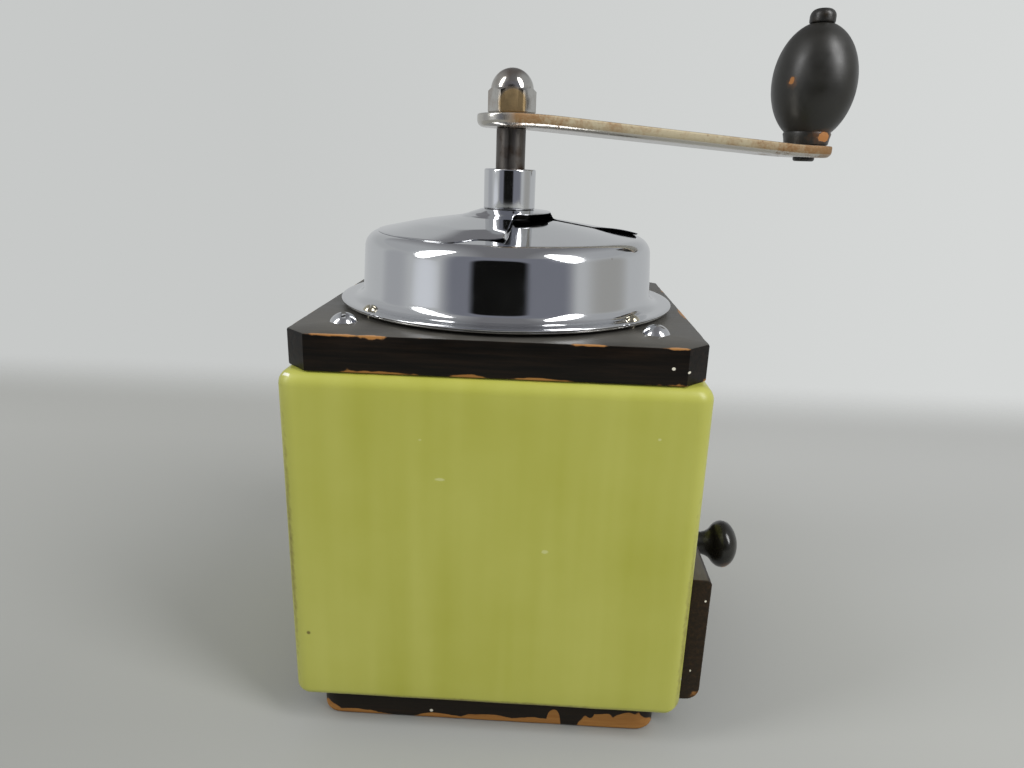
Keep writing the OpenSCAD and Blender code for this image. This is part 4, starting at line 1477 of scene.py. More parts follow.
@dataclass
class Hopper:
    """Bowl, dome, flange screws and collar."""

    flange: float = 52.5
    sheet: float = 0.8
    rim_sheet: float = 0.55
    lift: float = 0.6
    face: float = 123.0
    foot: float = 45.8
    foot_round: float = 3.4
    shoulder: float = 44.6
    shoulder_height: float = 20.9
    shoulder_round: float = 5.0
    boss: float = 13.0
    boss_height: float = 25.9
    crown: float = -0.2
    bore: float = 6.2
    fill: tuple[float, float, float, float] = (17.0, 38.0, 95.0, 179.0)
    bowl: float = 42.7
    bowl_wall: float = 9.0
    bowl_floor: float = 24.5
    bowl_depth: float = 33.0
    bowl_hole: float = 15.5
    screw_circle: float = 49.3
    screw_angle: float = 41.0
    collar: float = 8.0
    collar_bore: float = 5.6
    spigot: float = 6.9
    hub_height: float = 2.9
    collar_height: float = 11.9

    def cone(self, radius: float) -> float:
        """Height of the dome's outer cone at a radius.

        Args:
            radius: Distance from the axis.

        Returns:
            The height.
        """
        top = self.boss_height + self.crown
        slope = (top - self.shoulder_height) / (self.shoulder - self.boss)
        return self.face + top - (radius - self.boss) * slope

    def dome(self) -> None:
        """Pressed dome with flange, rounded shoulder, cone and fill opening."""
        top = self.face + self.sheet
        inner, outer, start, end = self.fill
        path = rounded(
            [
                (self.flange, top + self.lift, 0),
                (self.foot, top + self.lift, self.foot_round),
                (self.shoulder, self.face + self.shoulder_height, self.shoulder_round),
                (outer, self.cone(outer), 0),
                (inner, self.cone(inner), 0),
                (self.boss, self.cone(self.boss), 2.0),
                (self.bore, self.cone(self.boss), 0),
            ],
            14,
        )
        path = finer(shifted(path, self.rim_sheet / 2), 1.6)
        rows = turned(path, full_turn(180, start, end))

        def in_opening(place: Vector) -> bool:
            """Whether a face lies in the fill opening."""
            angle = math.degrees(math.atan2(place.y, place.x)) % 360
            return inner < place.xy.length < outer and start < angle < end and place.z > top + 10

        mesh = loft("hopper_dome_piece", rows, skip=in_opening)
        mesh = refined(mesh, *sheet_steps(self.rim_sheet, 0.16))
        mounted(mesh, CHROME, Body.CASING, "hopper_dome", sharp=50)

    def bowl_funnel(self) -> None:
        """Bowl under the dome, whose flange shows as a second sheet."""
        floor = self.face - self.bowl_depth
        path = rounded(
            [
                (self.flange - 0.6, self.face + self.lift + 0.1, 0),
                (self.bowl, self.face + self.lift + 0.1, 2.0),
                (self.bowl, self.face - self.bowl_wall, 6.0),
                (self.bowl_floor, floor, 2.0),
                (self.bowl_hole, floor, 0),
            ]
        )
        path = finer(shifted(path, self.rim_sheet / 2), 2.5)
        mesh = loft("hopper_bowl_piece", turned(path, full_turn(144)))
        mesh = refined(mesh, *sheet_steps(self.rim_sheet, 0.16))
        finish = ChromePlate("Plated bowl", "chrome", tint="#BDBBB6", haze=0.24, pits=0.75)
        mounted(mesh, finish, Body.CASING, "hopper_bowl", sharp=50)

    def flange_screws(self) -> None:
        """Small screws round the flange."""
        kind = ScrewKind(head=2.2, shank=1.1, length=9.6)
        angles = [self.screw_angle, 180 - self.screw_angle, 180 + self.screw_angle, -self.screw_angle]
        height = self.face + self.sheet + self.lift
        places = [tuple(polar(self.screw_circle, a, height)) for a in angles]
        turns = [(0.0, 0.0, angle) for angle in (20.0, 65.0, 98.0, 28.0)]
        finish = ChromePlate("Nickel screw heads", "nickel", tint="#C9C2AE", haze=0.3, pits=0.4, ripple=0.0)
        mesh = kind.screws("flange_screws_piece", places, turns, finish)
        mounted(mesh, finish, Body.CASING, "flange_screws")

    def collar_tube(self) -> None:
        """Chromed collar on the dome, its rims eased."""
        boss = self.face + self.boss_height
        hub = boss + self.hub_height
        top = hub + self.collar_height
        under = boss - self.sheet
        path = rounded(
            [
                (self.collar_bore, (boss + top) / 2, 0),
                (self.collar_bore, under - 0.7, 0.1),
                (self.bore + 1.8, under - 0.7, 0.3),
                (self.bore + 1.8, under, 0.1),
                (self.bore, under, 0.05),
                (self.bore, boss, 0.05),
                (self.spigot, boss, 0.1),
                (self.spigot, hub, 0.05),
                (self.collar, hub, 0.25),
                (self.collar, top, 0.5),
                (self.collar_bore, top, 0.3),
                (self.collar_bore, (boss + top) / 2 + 0.01, 0),
            ],
            4,
        )
        mesh = loft("dome_collar_piece", turned(path, full_turn(96)), closed=True)
        # Painted shade: the spigot under the cover's hub ring is darkened for the shadow that falls there
        shadowed = (Spot((0.0, 0.0, (boss + hub) / 2), (20.0, 20.0, 2.8)),)
        finish = ChromePlate("Chrome with greased spigot", "chrome", grime_and_painted_light=shadowed)
        mounted(mesh, finish, Body.CASING, "dome_collar")

    def build(self) -> None:
        """Builds the hopper's pieces."""
        self.dome()
        self.bowl_funnel()
        self.flange_screws()
        self.collar_tube()


@dataclass
class Shutter:
    """Rotating cover on the dome's cone, with a notch and two turned-up lips."""

    hopper: Hopper
    rim: float = 40.8
    sheet: float = 0.2
    rise: float = 0.24
    crown: float = 0.8
    notch: tuple[float, float] = (-88.3, -1.0)
    twist: tuple[float, float] = (7.4, 10.0)
    corner: float = 35.4
    hub_ring: float = 13.0
    hub_foot: float = 15.0
    hub_bore: float = 6.96
    ring_height: float = 150.75
    lip_start: float = 27.0
    lip_width: float = 9.0
    hem: float = 0.8
    lip_rises: tuple[float, float] = (1.0, 0.95)
    lip_curl: float = 1.6
    lip_bow: float = 2.3
    hub_width: float = 1.6
    twist_fade: float = 60.0
    ring_fade: float = 50.0
    crown_fade: float = 150.0
    crown_edges: tuple[float, float] = (12.0, 6.0)
    corner_cut: tuple[float, float, float] = (11.0, 12.0, 24.0)

    def lifted(self, radius: float) -> float:
        """Height of the cover's upper face at a radius on the cone."""
        return self.hopper.cone(radius) + self.rise

    def cover(self) -> None:
        """Sheet cover with its hub, notch and lips."""
        hub = self.hopper.face + self.hopper.boss_height + self.hopper.hub_height - 0.15
        path = rounded(
            [
                (self.rim, self.hopper.cone(self.rim) + self.sheet + 0.03, 0),
                (self.rim - 2.4, self.lifted(self.rim - 2.4), 0),
                (self.hub_foot, self.lifted(self.hub_foot), 6.0),
                (self.hopper.spigot + self.hub_width, hub, 1.0),
                (self.hub_bore, hub, 0),
            ]
        )
        path = finer(shifted(path, self.sheet / 2), 1.2)
        nearest = min(range(len(path)), key=lambda i: abs(path[i].x - self.hub_ring))
        path[nearest].x = self.hub_ring
        start, end = (angle % 360 for angle in self.notch)
        near = [0.4, 0.9, 1.5, 2.2, 3.0, 4.0, 5.2, 6.6, 8.0]
        angles = full_turn(150, start, end, *(start - a for a in near), *(end + a for a in near))
        rows = turned(path, angles)

        def in_notch(place: Vector) -> bool:
            """Whether a face lies in the notch."""
            angle = math.degrees(math.atan2(place.y, place.x)) % 360
            return place.xy.length > self.hub_ring and start < angle < end

        mesh = loft("hopper_cover_piece", rows, skip=in_notch)
        for vertex in mesh.vertices:
            vertex.co = self.bent(vertex.co / MM) * MM
        mesh = refined(mesh, *sheet_steps(self.sheet, 0.05))
        # Underside painted near black: painted shade in the gap under the cover
        finish = ChromePlate("Chrome with painted shade underneath", "chrome", painted_shade_under=True)
        mounted(mesh, finish, Body.COVER, "hopper_cover", sharp=50)

    def swung(self, angle: float, reach: float) -> float:
        """How far the notch's slanted edges swing a point of the plain cover, in degrees.

        Args:
            angle: The point's angle.
            reach: Its distance from the axis.

        Returns:
            The swing.
        """
        start, end = self.notch
        first, last = self.twist
        back, fore = (start - angle) % 360, (angle - end) % 360
        if start <= angle <= end:
            full = first + (last - first) * (angle - start) / (end - start)
        elif back < fore:
            full = first * max(0.0, 1 - back / self.twist_fade)
        else:
            full = last * max(0.0, 1 - fore / self.twist_fade)
        near = min(1.0, (self.rim - reach) / (self.rim - self.hub_ring))
        return full * max(0.0, near) * self.hub_ring / max(reach, self.hub_ring)

    def bent(self, point: Vector) -> Vector:
        """A point of the cover after bending: grips beside the notch, and the hub's ring raised in it.

        Args:
            point: A point of the plain cover.

        Returns:
            The point where the bent sheet has it.
        """
        reach, height = point.xy.length, point.z
        angle = math.degrees(math.atan2(point.y, point.x))
        turn = angle + self.swung(angle, reach)
        start, end = self.notch
        back, fore = (start - angle + 0.01) % 360, (angle - end + 0.01) % 360
        if start + 0.05 < angle < end - 0.05 or fore < self.ring_fade and reach < self.hub_ring + 0.05:
            inner = self.hopper.spigot + self.hub_width
            share = max(0.0, (reach - inner) / (self.hub_ring - inner))
            along = (angle - start) / (end - start)
            hub = self.hopper.face + self.hopper.boss_height + self.hopper.hub_height - 0.25
            if share > 0:
                height = hub + (self.ring_height + 0.3 * along - hub) * share
        else:
            out = max(0.0, (reach - self.lip_start) / (self.rim - self.lip_start))
            outer, inner = self.crown_edges
            bulge = self.crown * min(1.0, (self.rim - reach) / outer) * min(1.0, fore / self.crown_fade)
            bulge *= max(0.0, min(1.0, (reach - self.hopper.spigot - self.hub_width) / inner))
            left, right = self.lip_rises
            first, ease, last = self.corner_cut
            if back < last and reach > self.lip_start:
                cut = max(0.0, min(1.0, (back - first) / ease))
                limit = self.corner + (self.rim - self.corner) * cut * cut * (3 - 2 * cut)
                kept = self.lip_start + out * (limit - self.lip_start)
                height += self.hopper.cone(kept) - self.hopper.cone(reach)
                reach = kept
            if back < self.lip_width:
                curl = min(1.0, (1 - back / self.lip_width) ** self.lip_curl)
                bulge += left * curl * math.sin(self.lip_bow * out)
            if fore < self.lip_width:
                curl = (1 - fore / self.lip_width) ** self.lip_curl
                bulge += right * curl * math.sin(self.lip_bow * out)
            if reach > self.hub_foot - 2:
                bulge *= min(1.0, back / self.hem)
            height += bulge
        return polar(reach, turn, height)

    def build(self) -> None:
        """Builds the cover."""
        self.cover()


@dataclass
class Crank:
    """Shaft, arm, cap nut and the knob's pin."""

    turn: float = 21.0
    arm_length: float = 109.0
    hub: float = 10.5
    end: float = 9.0
    thick: float = 3.9
    eases: tuple[float, float] = (2.0, 0.6)
    drop: float = 5.4
    bend: float = 7.0
    arm_low: float = 175.7
    flats: float = 6.5
    flatted: float = 3.99
    nut_across: float = 13.0
    nut_height: float = 7.3
    nut_dome: float = 6.5
    nut_sink: float = 0.6
    nut_chamfer: float = 1.0
    nut_corner: float = 7.3
    nut_turn: float = 2.0
    nut_bore: float = 4.0
    nut_hollow: float = 9.5
    pin: float = 3.0
    pin_head: float = 4.2
    pin_head_low: float = 213.2
    pin_head_height: float = 4.69
    rivet: float = 3.6
    rivet_height: float = 1.3

    def spun(self, shift: Corner = (0.0, 0.0, 0.0)) -> Matrix:
        """Place in the crank's own frame, turned to where it rests."""
        return Matrix.Rotation(math.radians(self.turn), 4, "Z") @ Matrix.Translation(shift)

    def shaft(self) -> None:
        """Drive shaft with its tip, flats and threaded ends."""
        levels = [
            (0.0, 64.1), (3.2, 64.1), (3.5, 64.4), (3.5, 66.7), (4.0, 66.7), (4.0, 71.5),
            (self.flatted, 71.5), (self.flatted, 88.0), (4.5, 88.0), (4.5, 120.0), (4.5, 150.0),
            (4.5, 163.0), (4.5, 170.0), (4.5, 175.4), (4.2, 175.7), (self.flatted, 175.7),
            (self.flatted, 179.6), (4.0, 179.6), (4.0, 188.3), (3.7, 188.6), (0.0, 188.6),
        ]
        rows = turned([Vector(level) for level in levels], full_turn(64))
        for (radius, _), row in zip(levels, rows):
            if radius == self.flatted:
                for point in row:
                    point.x = max(-self.flats / 2, min(self.flats / 2, point.x))
        mesh = placed(loft("drive_shaft_piece", rows), self.spun())
        mounted(mesh, DARK_STEEL, Body.CRANK, "drive_shaft")

    def side_height(self, along: float) -> float:
        """How far the arm has dropped at a place along it, its two bends eased.

        Args:
            along: Distance from the shaft.

        Returns:
            The height, 0 at the hub and less beyond.
        """
        start, stop = self.bend, self.arm_length - self.bend
        ease = 6.0
        share = (along - start) / (stop - start)
        soft = ease / (stop - start)
        if share < -soft:
            bent = 0.0
        elif share < soft:
            bent = (share + soft) ** 2 / (4 * soft)
        elif share < 1 - soft:
            bent = share
        elif share < 1 + soft:
            bent = 1 - (1 + soft - share) ** 2 / (4 * soft)
        else:
            bent = 1.0
        return -self.drop * bent

    def arm(self) -> None:
        """Flat arm, wider at the shaft, with eased edges, its two sides joined by strips."""
        lean = math.asin((self.hub - self.end) / self.arm_length)
        outline = []
        for k in range(33):
            angle = math.pi - (math.pi / 2 + lean) * k / 32
            outline.append((self.hub * math.cos(angle), self.hub * math.sin(angle)))
        big = outline[-1]
        small = (self.arm_length + self.end * math.sin(lean), self.end * math.cos(lean))
        for k in range(1, 40):
            outline.append(tuple(here + (there - here) * k / 40 for here, there in zip(big, small)))
        for k in range(33):
            angle = (math.pi / 2 - lean) * (1 - k / 32)
            outline.append((self.arm_length + self.end * math.cos(angle), self.end * math.sin(angle)))
        low, top = self.eases
        ledges = round_edge(low, 4)
        ledges += [(inset, self.thick - rise) for inset, rise in reversed(round_edge(top, 4))]
        points: list[Vector] = []
        for inset, rise in ledges:
            upper = []
            for x, y in outline:
                middle = self.arm_length * max(0.0, min(1.0, x / self.arm_length))
                away = Vector((x - middle, y))
                kept = away * (1 - inset / max(away.length, 1e-6))
                reach = middle + kept.x
                upper.append(Vector((reach, kept.y, rise + self.side_height(reach))))
            points += upper + [Vector((p.x, -p.y, p.z)) for p in reversed(upper[1:-1])]
        count, total = len(outline), len(points) // len(ledges)
        faces = []
        for base in range(0, len(points) - total, total):
            for k in range(total):
                n = (k + 1) % total
                faces.append([base + i for i in (k, n, n + total, k + total)])
        for base in (0, len(points) - total):
            for k in range(count - 1):
                near, far = (total - k) % total, (total - k - 1) % total
                corners = dict.fromkeys((k, k + 1, far if k < count - 2 else k + 1, near))
                faces.append([base + i for i in corners])
        mesh = placed(solid("crank_arm_piece", points, faces), self.spun((0, 0, self.arm_low)))
        mesh = refined(mesh, ("WEIGHTED_NORMAL", {"keep_sharp": True}))
        finish = WornNickel("Worn nickel", "nickel", turn=self.turn)
        mounted(mesh, finish, Body.CRANK, "crank_arm", sharp=50)

    def cap_nut(self) -> None:
        """Hexagon nut with chamfered corners and a domed cap, hollow for the thread."""
        base = self.arm_low + self.thick
        tall = self.nut_height
        flat = self.nut_across / 2
        rim = flat / math.cos(math.pi / 6) - self.nut_chamfer
        worn = math.degrees(math.pi / 6 - math.acos(flat / self.nut_corner))
        angles = full_turn(96, *(60 * k + side * worn for k in range(6) for side in (-1, 1)))

        def hexagon(angle: float) -> float:
            """Radius of the hexagon at an angle, its corners worn round."""
            return min(self.nut_corner, flat / math.cos(math.radians(angle % 60 - 30)))

        def crest(angle: float) -> float:
            """Height of a flat's upper edge, which the chamfer lowers towards the corners."""
            return tall - max(0.0, hexagon(angle) - rim) * tall / (tall + self.nut_chamfer)

        def slope(angle: float) -> float:
            """Radius in the middle of the chamfer."""
            return min(hexagon(angle), rim + 0.85 * max(0.0, hexagon(angle) - rim)) - 0.02

        rows = [[Vector((0, 0, self.nut_hollow))]]
        rows += [[polar(self.nut_bore, a, height) for a in angles] for height in (self.nut_hollow, 0.0)]
        for inset, height in ((0.8, 0.0), (0.3, 0.3), (0.0, 0.7)):
            rows.append([polar(hexagon(a) - inset, a, height) for a in angles])
        rows.append([polar(hexagon(a), a, crest(a) - 0.1) for a in angles])
        rows.append([polar(slope(a), a, crest(a)) for a in angles])
        rows.append([polar(min(rim, hexagon(a)) - 0.03, a, tall) for a in angles])
        low = tall - self.nut_sink
        first = math.asin(self.nut_sink / self.nut_dome) + 0.02
        for k in range(22):
            rise = first + (math.pi / 2 - first) * k / 22
            reach, height = self.nut_dome * math.cos(rise), low + self.nut_dome * math.sin(rise)
            rows.append([polar(min(reach, hexagon(a) - 0.05), a, height) for a in angles])
        rows.append([Vector((0, 0, low + self.nut_dome))])
        mesh = placed(loft("cap_nut_piece", rows), Matrix.Translation((0, 0, base)))
        placed(mesh, Matrix.Rotation(math.radians(self.nut_turn), 4, "Z"))
        finish = ChromePlate(
            "Rust-filmed chrome",
            "chrome",
            tint="#C6C4BF",
            haze=0.3,
            pits=0.6,
            ripple=0.03,
            film=0.5,
            # Tan, rougher patch on the front flat alone: partly rust film, partly a painted reflection
            grime_and_painted_light=(Spot((0.6, -6.8, base + 2.6), (6.4, 4.2, 6.6)),),
            grime_and_painted_light_tone="#A08A66",
            grime_and_painted_light_rough=0.4,
        )
        mounted(mesh, finish, Body.CRANK, "cap_nut", sharp=28)

    def knob_pin(self) -> None:
        """Black pin of the knob: rivet under the arm, stem and rounded head."""
        arm_end = self.arm_low - self.drop
        head = self.pin_head_low
        path = rounded(
            [
                (0, arm_end - self.rivet_height, 0),
                (self.rivet, arm_end - self.rivet_height, 0.8),
                (self.rivet, arm_end, 0),
                (self.pin, arm_end, 0),
                (self.pin, head, 0),
                (self.pin_head, head, 0.8),
                (self.pin_head, head + self.pin_head_height, 2.5),
                (0, head + self.pin_head_height, 0),
            ],
            8,
        )
        mesh = loft("knob_pin_piece", turned(path, full_turn(64)))
        placed(mesh, self.spun((self.arm_length, 0, 0)))
        mounted(mesh, BLACK_STEEL, Body.CRANK, "knob_pin")

    def build(self) -> None:
        """Builds the crank's pieces."""
        self.shaft()
        self.arm()
        self.cap_nut()
        self.knob_pin()


@dataclass
class HandleKnob:
    """Olive-shaped wooden knob that turns on the crank's pin."""

    crank: Crank
    low: float = 174.4
    greatest: float = 13.88
    half_height: float = 19.3
    below: float = 16.0
    above: float = 18.3
    neck_height: float = 4.3
    neck: float = 7.4
    bore: float = 3.06

    def finish(self) -> TurnedLacquer:
        """Lacquer of the knob, chipped on its side and rubbed at the neck.

        Returns:
            The finish.
        """
        return TurnedLacquer(
            "Black lacquered olive",
            "black_wood",
            chips=(
                Spot((91.5, 30.1, 194.4), (1.3, 2.6, 2.2)),
                Spot((105.6, 32.5, 177.0), (5.4, 4.2, 3.0)),
            ),
            rubbed=(
                Spot((105.0, 32.6, 177.4), (9.0, 6.0, 4.6)),
                Spot((91.8, 30.1, 194.0), (2.6, 4.0, 3.4)),
            ),
        )

    def build(self) -> None:
        """Builds the knob with its neck and bore."""
        waist = self.neck_height + self.below
        start = -math.asin(self.below / self.half_height)
        stop = math.asin(self.above / self.half_height)
        path = [Vector((self.bore, 0.0)), Vector((self.neck - 0.5, 0.0)), Vector((self.neck - 0.1, 0.2))]
        path += [Vector((self.neck, 0.6)), Vector((self.neck + 0.25, 2.2)), Vector((self.neck + 0.6, 3.6))]
        for k in range(49):
            angle = start + (stop - start) * k / 48
            path.append(Vector((self.greatest * math.cos(angle), waist + self.half_height * math.sin(angle))))
        top = path[-1].y
        path += [Vector((path[-1].x - 0.4, top)), Vector((self.bore, top))]
        mesh = loft("handle_knob_piece", turned(path, full_turn(96)), closed=True)
        placed(mesh, self.crank.spun((self.crank.arm_length, 0, self.low)))
        mounted(mesh, self.finish(), Body.KNOB, "handle_knob", sharp=40)


@dataclass
class Drawer:
    """Front board with its knob, and the drawer's box."""

    face: float = 57.8
    thick: float = 6.2
    half: float = 50.0
    low: float = 11.6
    height: float = 41.2
    lower_round: float = 4.0
    upper_ease: float = 1.2
    back: float = -38.2
    box_half: float = 38.3
    wall: float = 6.0
    floor: tuple[float, float] = (14.05, 17.05)
    side_top: float = 44.05
    pull_height: float = 37.6
    pull: float = 8.2
    pull_thick: float = 10.7
    pull_neck: float = 4.4
    pull_reach: float = 9.6
    pull_throat: float = 5.7
    pull_bore: float = 1.6
    bore_depth: float = 12.0
    pull_stem: tuple[tuple[float, float], ...] = (
        (3.85, 4.4), (3.8, 6.0), (3.95, 7.8), (4.35, 9.2), (4.95, 10.3)
    )
    screw: ScrewKind = field(default_factory=lambda: ScrewKind(head=2.8, shank=1.6, length=18.2))

    def finish(self) -> BlackStain:
        """Stain of the front board, browner than the rest and rubbed along its edges.

        Returns:
            The finish.
        """
        return BlackStain(
            "Black stained drawer front",
            "black_wood",
            half=(self.thick / 2, self.half),
            middle=(self.face + self.thick / 2, 0.0),
            levels=(self.low, self.low + self.height),
            grain=Grain.ALONG_Y,
            reach=1.0,
            amount=0.35,
            black="#211B13",
            brown="#4E3822",
            bare=(Spot((62.0, -50.0, 14.0), (3.0, 3.0, 3.0)),),
            flecks=(Spot((62.6, -50.0, 46.0), (0.5, 1.2, 0.6)), Spot((60.6, -50.0, 22.0), (0.4, 1.2, 0.6))),
        )

    def front(self) -> None:
        """Front board with a rounded lower and a chamfered upper edge."""
        outline = rounded(
            [
                (0, 0, 0),
                (self.thick, 0, self.lower_round),
                (self.thick, self.height - self.upper_ease, 0),
                (self.thick - self.upper_ease, self.height, 0),
                (0, self.height, 0),
            ],
            10,
        )
        rows = []
        for k in range(25):
            along = -self.half + 2 * self.half * k / 24
            rows.append([Vector((self.face + p.x, along, self.low + p.y)) for p in outline])
        mesh = refined(loft("drawer_front_piece", rows, capped=True), *eased(0.45))
        mounted(mesh, self.finish(), Body.DRAWER, "drawer_front", sharp=None)

    def box(self) -> None:
        """Sides, back and bottom of the drawer, in raw wood."""
        low, high = self.floor
        out, top = self.box_half, self.side_top
        inner, front = out - self.wall, self.back + self.wall
        sides = [
            block("side", (front, min(y), high), (self.face, max(y), top), 0.4)
            for y in ((-inner, -out), (inner, out))
        ]
        mounted(joined("drawer_sides_piece", sides), RAW_BEECH, Body.DRAWER, "drawer_sides")
        back = block("drawer_back_piece", (self.back, -out, high), (front, out, top), 0.4)
        mounted(back, RAW_BEECH_ACROSS, Body.DRAWER, "drawer_back", sharp=None)
        bottom = block("drawer_bottom_piece", (self.back, -out, low), (self.face, out, high), 0.25)
        mounted(bottom, RAW_BEECH, Body.DRAWER, "drawer_bottom", sharp=None)

    def knob(self) -> None:
        """Turned mushroom knob on the front board."""
        half = self.pull_thick / 2
        middle = self.pull_reach + half
        first = math.pi - math.asin(self.pull_throat / self.pull)
        foot = ((0.8, 0.0), (1.0, 0.25), (1.0, 0.9), (0.8, 1.2), (0.1, 1.8), (-0.3, 2.8))
        path = [Vector((self.pull_bore, 0.0))]
        path += [Vector((self.pull_neck + out, height)) for out, height in foot]
        path += [Vector(point) for point in self.pull_stem]
        for k in range(37):
            angle = first * (1 - k / 36)
            path.append(Vector((self.pull * math.sin(angle), middle + half * math.cos(angle))))
        path[-1].x = 0.0
        path += [Vector((0.0, self.bore_depth)), Vector((self.pull_bore, self.bore_depth))]
        rows = turned(path, full_turn(64))
        parts = [loft("pull", rows[:-2]), loft("pull_bore", [rows[0], rows[-1], rows[-2]])]
        mesh = joined("drawer_knob_piece", parts)
        foot_at = Matrix.Translation((self.face + self.thick, 0, self.pull_height))
        placed(mesh, foot_at @ Matrix.Rotation(math.pi / 2, 4, "Y"))
        finish = TurnedLacquer(
            "Black lacquered pull",
            "black_wood",
            black="#1B1A15",
            across=Grain.ALONG_Y,
            gloss=0.2,
            chips=(Spot((80.0, -5.5, 31.0), (2.0, 3.0, 1.4)),),
            rubbed=(Spot((80.0, -6.0, 32.5), (4.0, 5.0, 3.6)), Spot((68.0, -5.0, 36.0), (3.0, 3.0, 3.0))),
        )
        mounted(mesh, finish, Body.DRAWER, "drawer_knob", sharp=45)

    def knob_screw(self) -> None:
        """Screw that holds the knob, its head inside the drawer."""
        places = [(self.face, 0.0, self.pull_height)]
        mesh = self.screw.screws("drawer_knob_screw_piece", places, [(0.0, -90.0, 0.0)], DARK_STEEL)
        mounted(mesh, DARK_STEEL, Body.DRAWER, "drawer_knob_screw")

    def build(self) -> None:
        """Builds the drawer's pieces."""
        self.front()
        self.box()
        self.knob()
        self.knob_screw()


@dataclass
class Works:
    """Inner pieces that keep the frame's shapes: burrs, bridge, adjuster, blocks, rails and screws."""

    finishes: dict[str, tuple[Finish, Body]] = field(
        default_factory=lambda: {
            "corner_blocks": (RAW_BEECH, Body.CASING),
            "drawer_rails": (RAW_BEECH, Body.CASING),
            "base_screws": (DARK_STEEL, Body.CASING),
            "collar_bush": (BRONZE, Body.CASING),
            "ring_burr": (CAST_IRON, Body.CASING),
            "burr_screws": (DARK_STEEL, Body.CASING),
            "lower_bridge": (DARK_STEEL, Body.CASING),
            "bridge_screws": (DARK_STEEL, Body.CASING),
            "detent_spring": (DARK_STEEL, Body.CASING),
            "thrust_pad": (DARK_STEEL, Body.LIFT),
            "adjusting_screw": (BRONZE, Body.ADJUSTER),
            "cone_burr": (CAST_IRON, Body.CRANK),
            "burr_nut": (DARK_STEEL, Body.CRANK),
        }
    )

    def build(self) -> None:
        """Gives each inner piece a merged, smoothed copy of its solid and its finish."""
        for node, (finish, body) in self.finishes.items():
            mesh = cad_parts[node].data.copy()
            mesh.name = f"{node}_piece"
            with edited(mesh) as work:
                bmesh.ops.remove_doubles(work, verts=work.verts, dist=1e-6)
            mounted(mesh, finish, body, node, sharp=30)


@dataclass(frozen=True)
class Card:
    """A card or dark panel in the studio that only mirrors see, its top rounded.

    Attributes:
        tone: Its colour.
        bearing: Its middle, in degrees to the right of the way back to the viewpoint.
        half: Half its width in degrees.
        top: Sine of the elevation where it starts to end.
        tall: How far above that its rounded top reaches.
        soft: Softness of its outline.
        edge: Power of its outline; 2 is round, more is squarer.
    """

    tone: str
    bearing: float
    half: float
    top: float
    tall: float
    soft: float
    edge: float = 4.0

    def mask(self, tree: NodeTree, bearing: NodeSocket, height: NodeSocket) -> NodeSocket:
        """Mask of the card over the world's bearings and elevations.

        Args:
            tree: The world's node tree.
            bearing: A ray's bearing.
            height: Sine of its elevation.

        Returns:
            The mask's output.
        """
        middle, half = math.radians(self.bearing), math.radians(self.half)
        aside = chained(tree, "SUBTRACT", (bearing, middle))
        aside = chained(tree, "DIVIDE", (aside, half))
        aside = add_node(tree, "Math", {0: aside}, operation="ABSOLUTE")
        above = chained(tree, "SUBTRACT", (height, self.top))
        above = chained(tree, "MAXIMUM", (above, 0.0))
        above = chained(tree, "DIVIDE", (above, self.tall))
        powers = [chained(tree, "POWER", (share, self.edge)) for share in (aside, above)]
        limits = span(chained(tree, "ADD", powers), 1 - self.soft, 1 + self.soft, 1.0, 0.0)
        return add_node(tree, "MapRange", limits, interpolation_type="SMOOTHSTEP")


